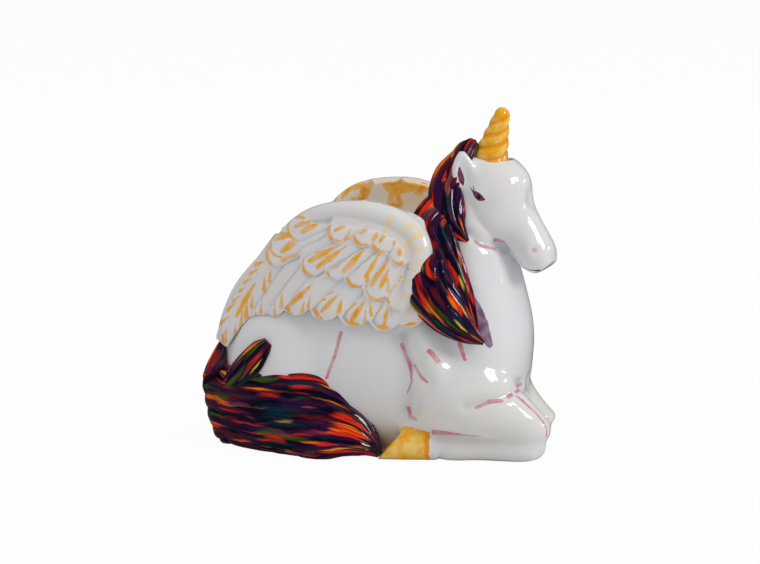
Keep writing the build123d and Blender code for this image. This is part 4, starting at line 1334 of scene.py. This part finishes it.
away = [np.array((*(np.array(row[:2]) - HAUNCH_MIDDLE), 0.0)) for row in TAIL]
away = [direction / np.linalg.norm(direction) for direction in away]
combed_lock("tail_hair", TAIL, away, tail_rule, tail_glaze, "tail",
            Strands=13.0, Depth=1.1 * MM, Lay=5.0)
combed_lock("tail_curl_hair", CURL, beside, tail_rule, tail_glaze, "tail_curl", Strands=7.0, Lay=6.0)

# Floor, light and camera
# A plain pale table top under soft light from above, with a window of two panes and a low one in front
# of the animal. The camera stands where the photograph was taken from.
FLOOR_HALF = 6.0
FLOOR_GREY = (0.92, 0.92, 0.92, 1.0)
PAPER_WHITE = (1.0, 1.0, 1.0, 1.0)
FLOOR_WHITE_SHARE, FLOOR_MIRRORED = 0.95, 0.06
ROOM_LOW, ROOM_HIGH = (0.62, 0.62, 0.63, 1.0), (0.93, 0.93, 0.95, 1.0)
ROOM_LIGHT, ROOM_MIRRORED = 0.7, 0.05
floor_mesh = bpy.data.meshes.new("floor")
corners = [(-FLOOR_HALF, -FLOOR_HALF, 0), (FLOOR_HALF, -FLOOR_HALF, 0),
           (FLOOR_HALF, FLOOR_HALF, 0), (-FLOOR_HALF, FLOOR_HALF, 0)]
floor_mesh.from_pydata(corners, [], [(0, 1, 2, 3)])
floor = placed("floor", floor_mesh)
floor_paint = bpy.data.materials.new("floor_paint")
floor_paint.use_nodes = True
tree = floor_paint.node_tree
shader = tree.nodes["Principled BSDF"]
shader.inputs["Base Color"].default_value = FLOOR_GREY
shader.inputs["Roughness"].default_value = 0.9
rays = add_node(tree, "ShaderNodeLightPath")
lit = add_node(tree, "ShaderNodeEmission", {"Color": PAPER_WHITE, "Strength": 1.0})
dim = add_node(tree, "ShaderNodeEmission", {"Color": PAPER_WHITE, "Strength": FLOOR_MIRRORED})
mirrored = add_node(tree, "ShaderNodeMixShader", {
    0: rays.outputs["Is Glossy Ray"], 1: shader.outputs[0], 2: dim.outputs[0]})
straight_on = product(tree, rays.outputs["Is Camera Ray"], FLOOR_WHITE_SHARE)
sheet = add_node(tree, "ShaderNodeMixShader", {0: straight_on, 1: mirrored.outputs[0], 2: lit.outputs[0]})
tree.links.new(sheet.outputs[0], tree.nodes["Material Output"].inputs["Surface"])
floor_mesh.materials.append(floor_paint)

world = bpy.data.worlds.new("soft_room")
bpy.context.scene.world = world
world.use_nodes = True
tree = world.node_tree
sky = add_node(tree, "ShaderNodeTexCoord").outputs["Generated"]
height = add_node(tree, "ShaderNodeSeparateXYZ", {0: sky}).outputs["Z"]
shade = over(tree, ramp(tree, height, -0.1, 0.9), ROOM_LOW, ROOM_HIGH)
backdrop = tree.nodes["Background"]
tree.links.new(shade, backdrop.inputs["Color"])
mirrored = add_node(tree, "ShaderNodeLightPath").outputs["Is Glossy Ray"]
tree.links.new(ramp(tree, mirrored, 0.0, 1.0, ROOM_LIGHT, ROOM_MIRRORED), backdrop.inputs["Strength"])


def window(name, place, aim, width, height, power):
    """A rectangular soft lamp that faces the figurine."""
    lamp = bpy.data.lights.new(name, "AREA")
    lamp.shape = "RECTANGLE"
    lamp.size = width
    lamp.size_y = height
    lamp.energy = power
    piece = placed(name, lamp)
    facing = Vector(place) - Vector(aim)
    piece.location = place
    piece.rotation_euler = facing.to_track_quat("Z", "Y").to_euler()
    return piece


PANE_WIDTH, PANE_HEIGHT, PANE_POWER = 0.23, 0.36, 3.6
PANES = (("window_left_pane", (1.30, -0.34, 0.92)), ("window_right_pane", (1.35, -0.04, 0.92)))
for name, place in PANES:
    window(name, place, (0, 0, 0.06), PANE_WIDTH, PANE_HEIGHT, PANE_POWER)
window("low_window", (1.30, 0.62, 0.45), (0, 0, 0.05), 0.34, 0.22, 1.0)
window("ceiling", (-0.3, -0.2, 1.5), (0, 0, 0.05), 1.0, 1.0, 4.0).visible_glossy = False

SENSOR_WIDTH = 36.0
PICTURE_WIDTH, PICTURE_HEIGHT = 760, 564
camera_data = bpy.data.cameras.new("camera")
camera_data.sensor_width = SENSOR_WIDTH
camera_data.lens = SENSOR_WIDTH * VIEW_SCALE * VIEW_DISTANCE / PICTURE_WIDTH
camera = placed("camera", camera_data)
off_right = (PICTURE_WIDTH / 2 - AIM_PIXEL[0]) / VIEW_SCALE
off_up = (AIM_PIXEL[1] - PICTURE_HEIGHT / 2) / VIEW_SCALE
stand = (view_eye + view_right * off_right + view_up * off_up) * MM
axes = np.eye(4)
axes[:3, 0], axes[:3, 1], axes[:3, 2], axes[:3, 3] = view_right, view_up, view_back, stand
camera.matrix_world = Matrix(axes.tolist())
bpy.context.scene.camera = camera
bpy.context.scene.view_settings.view_transform = "Standard"
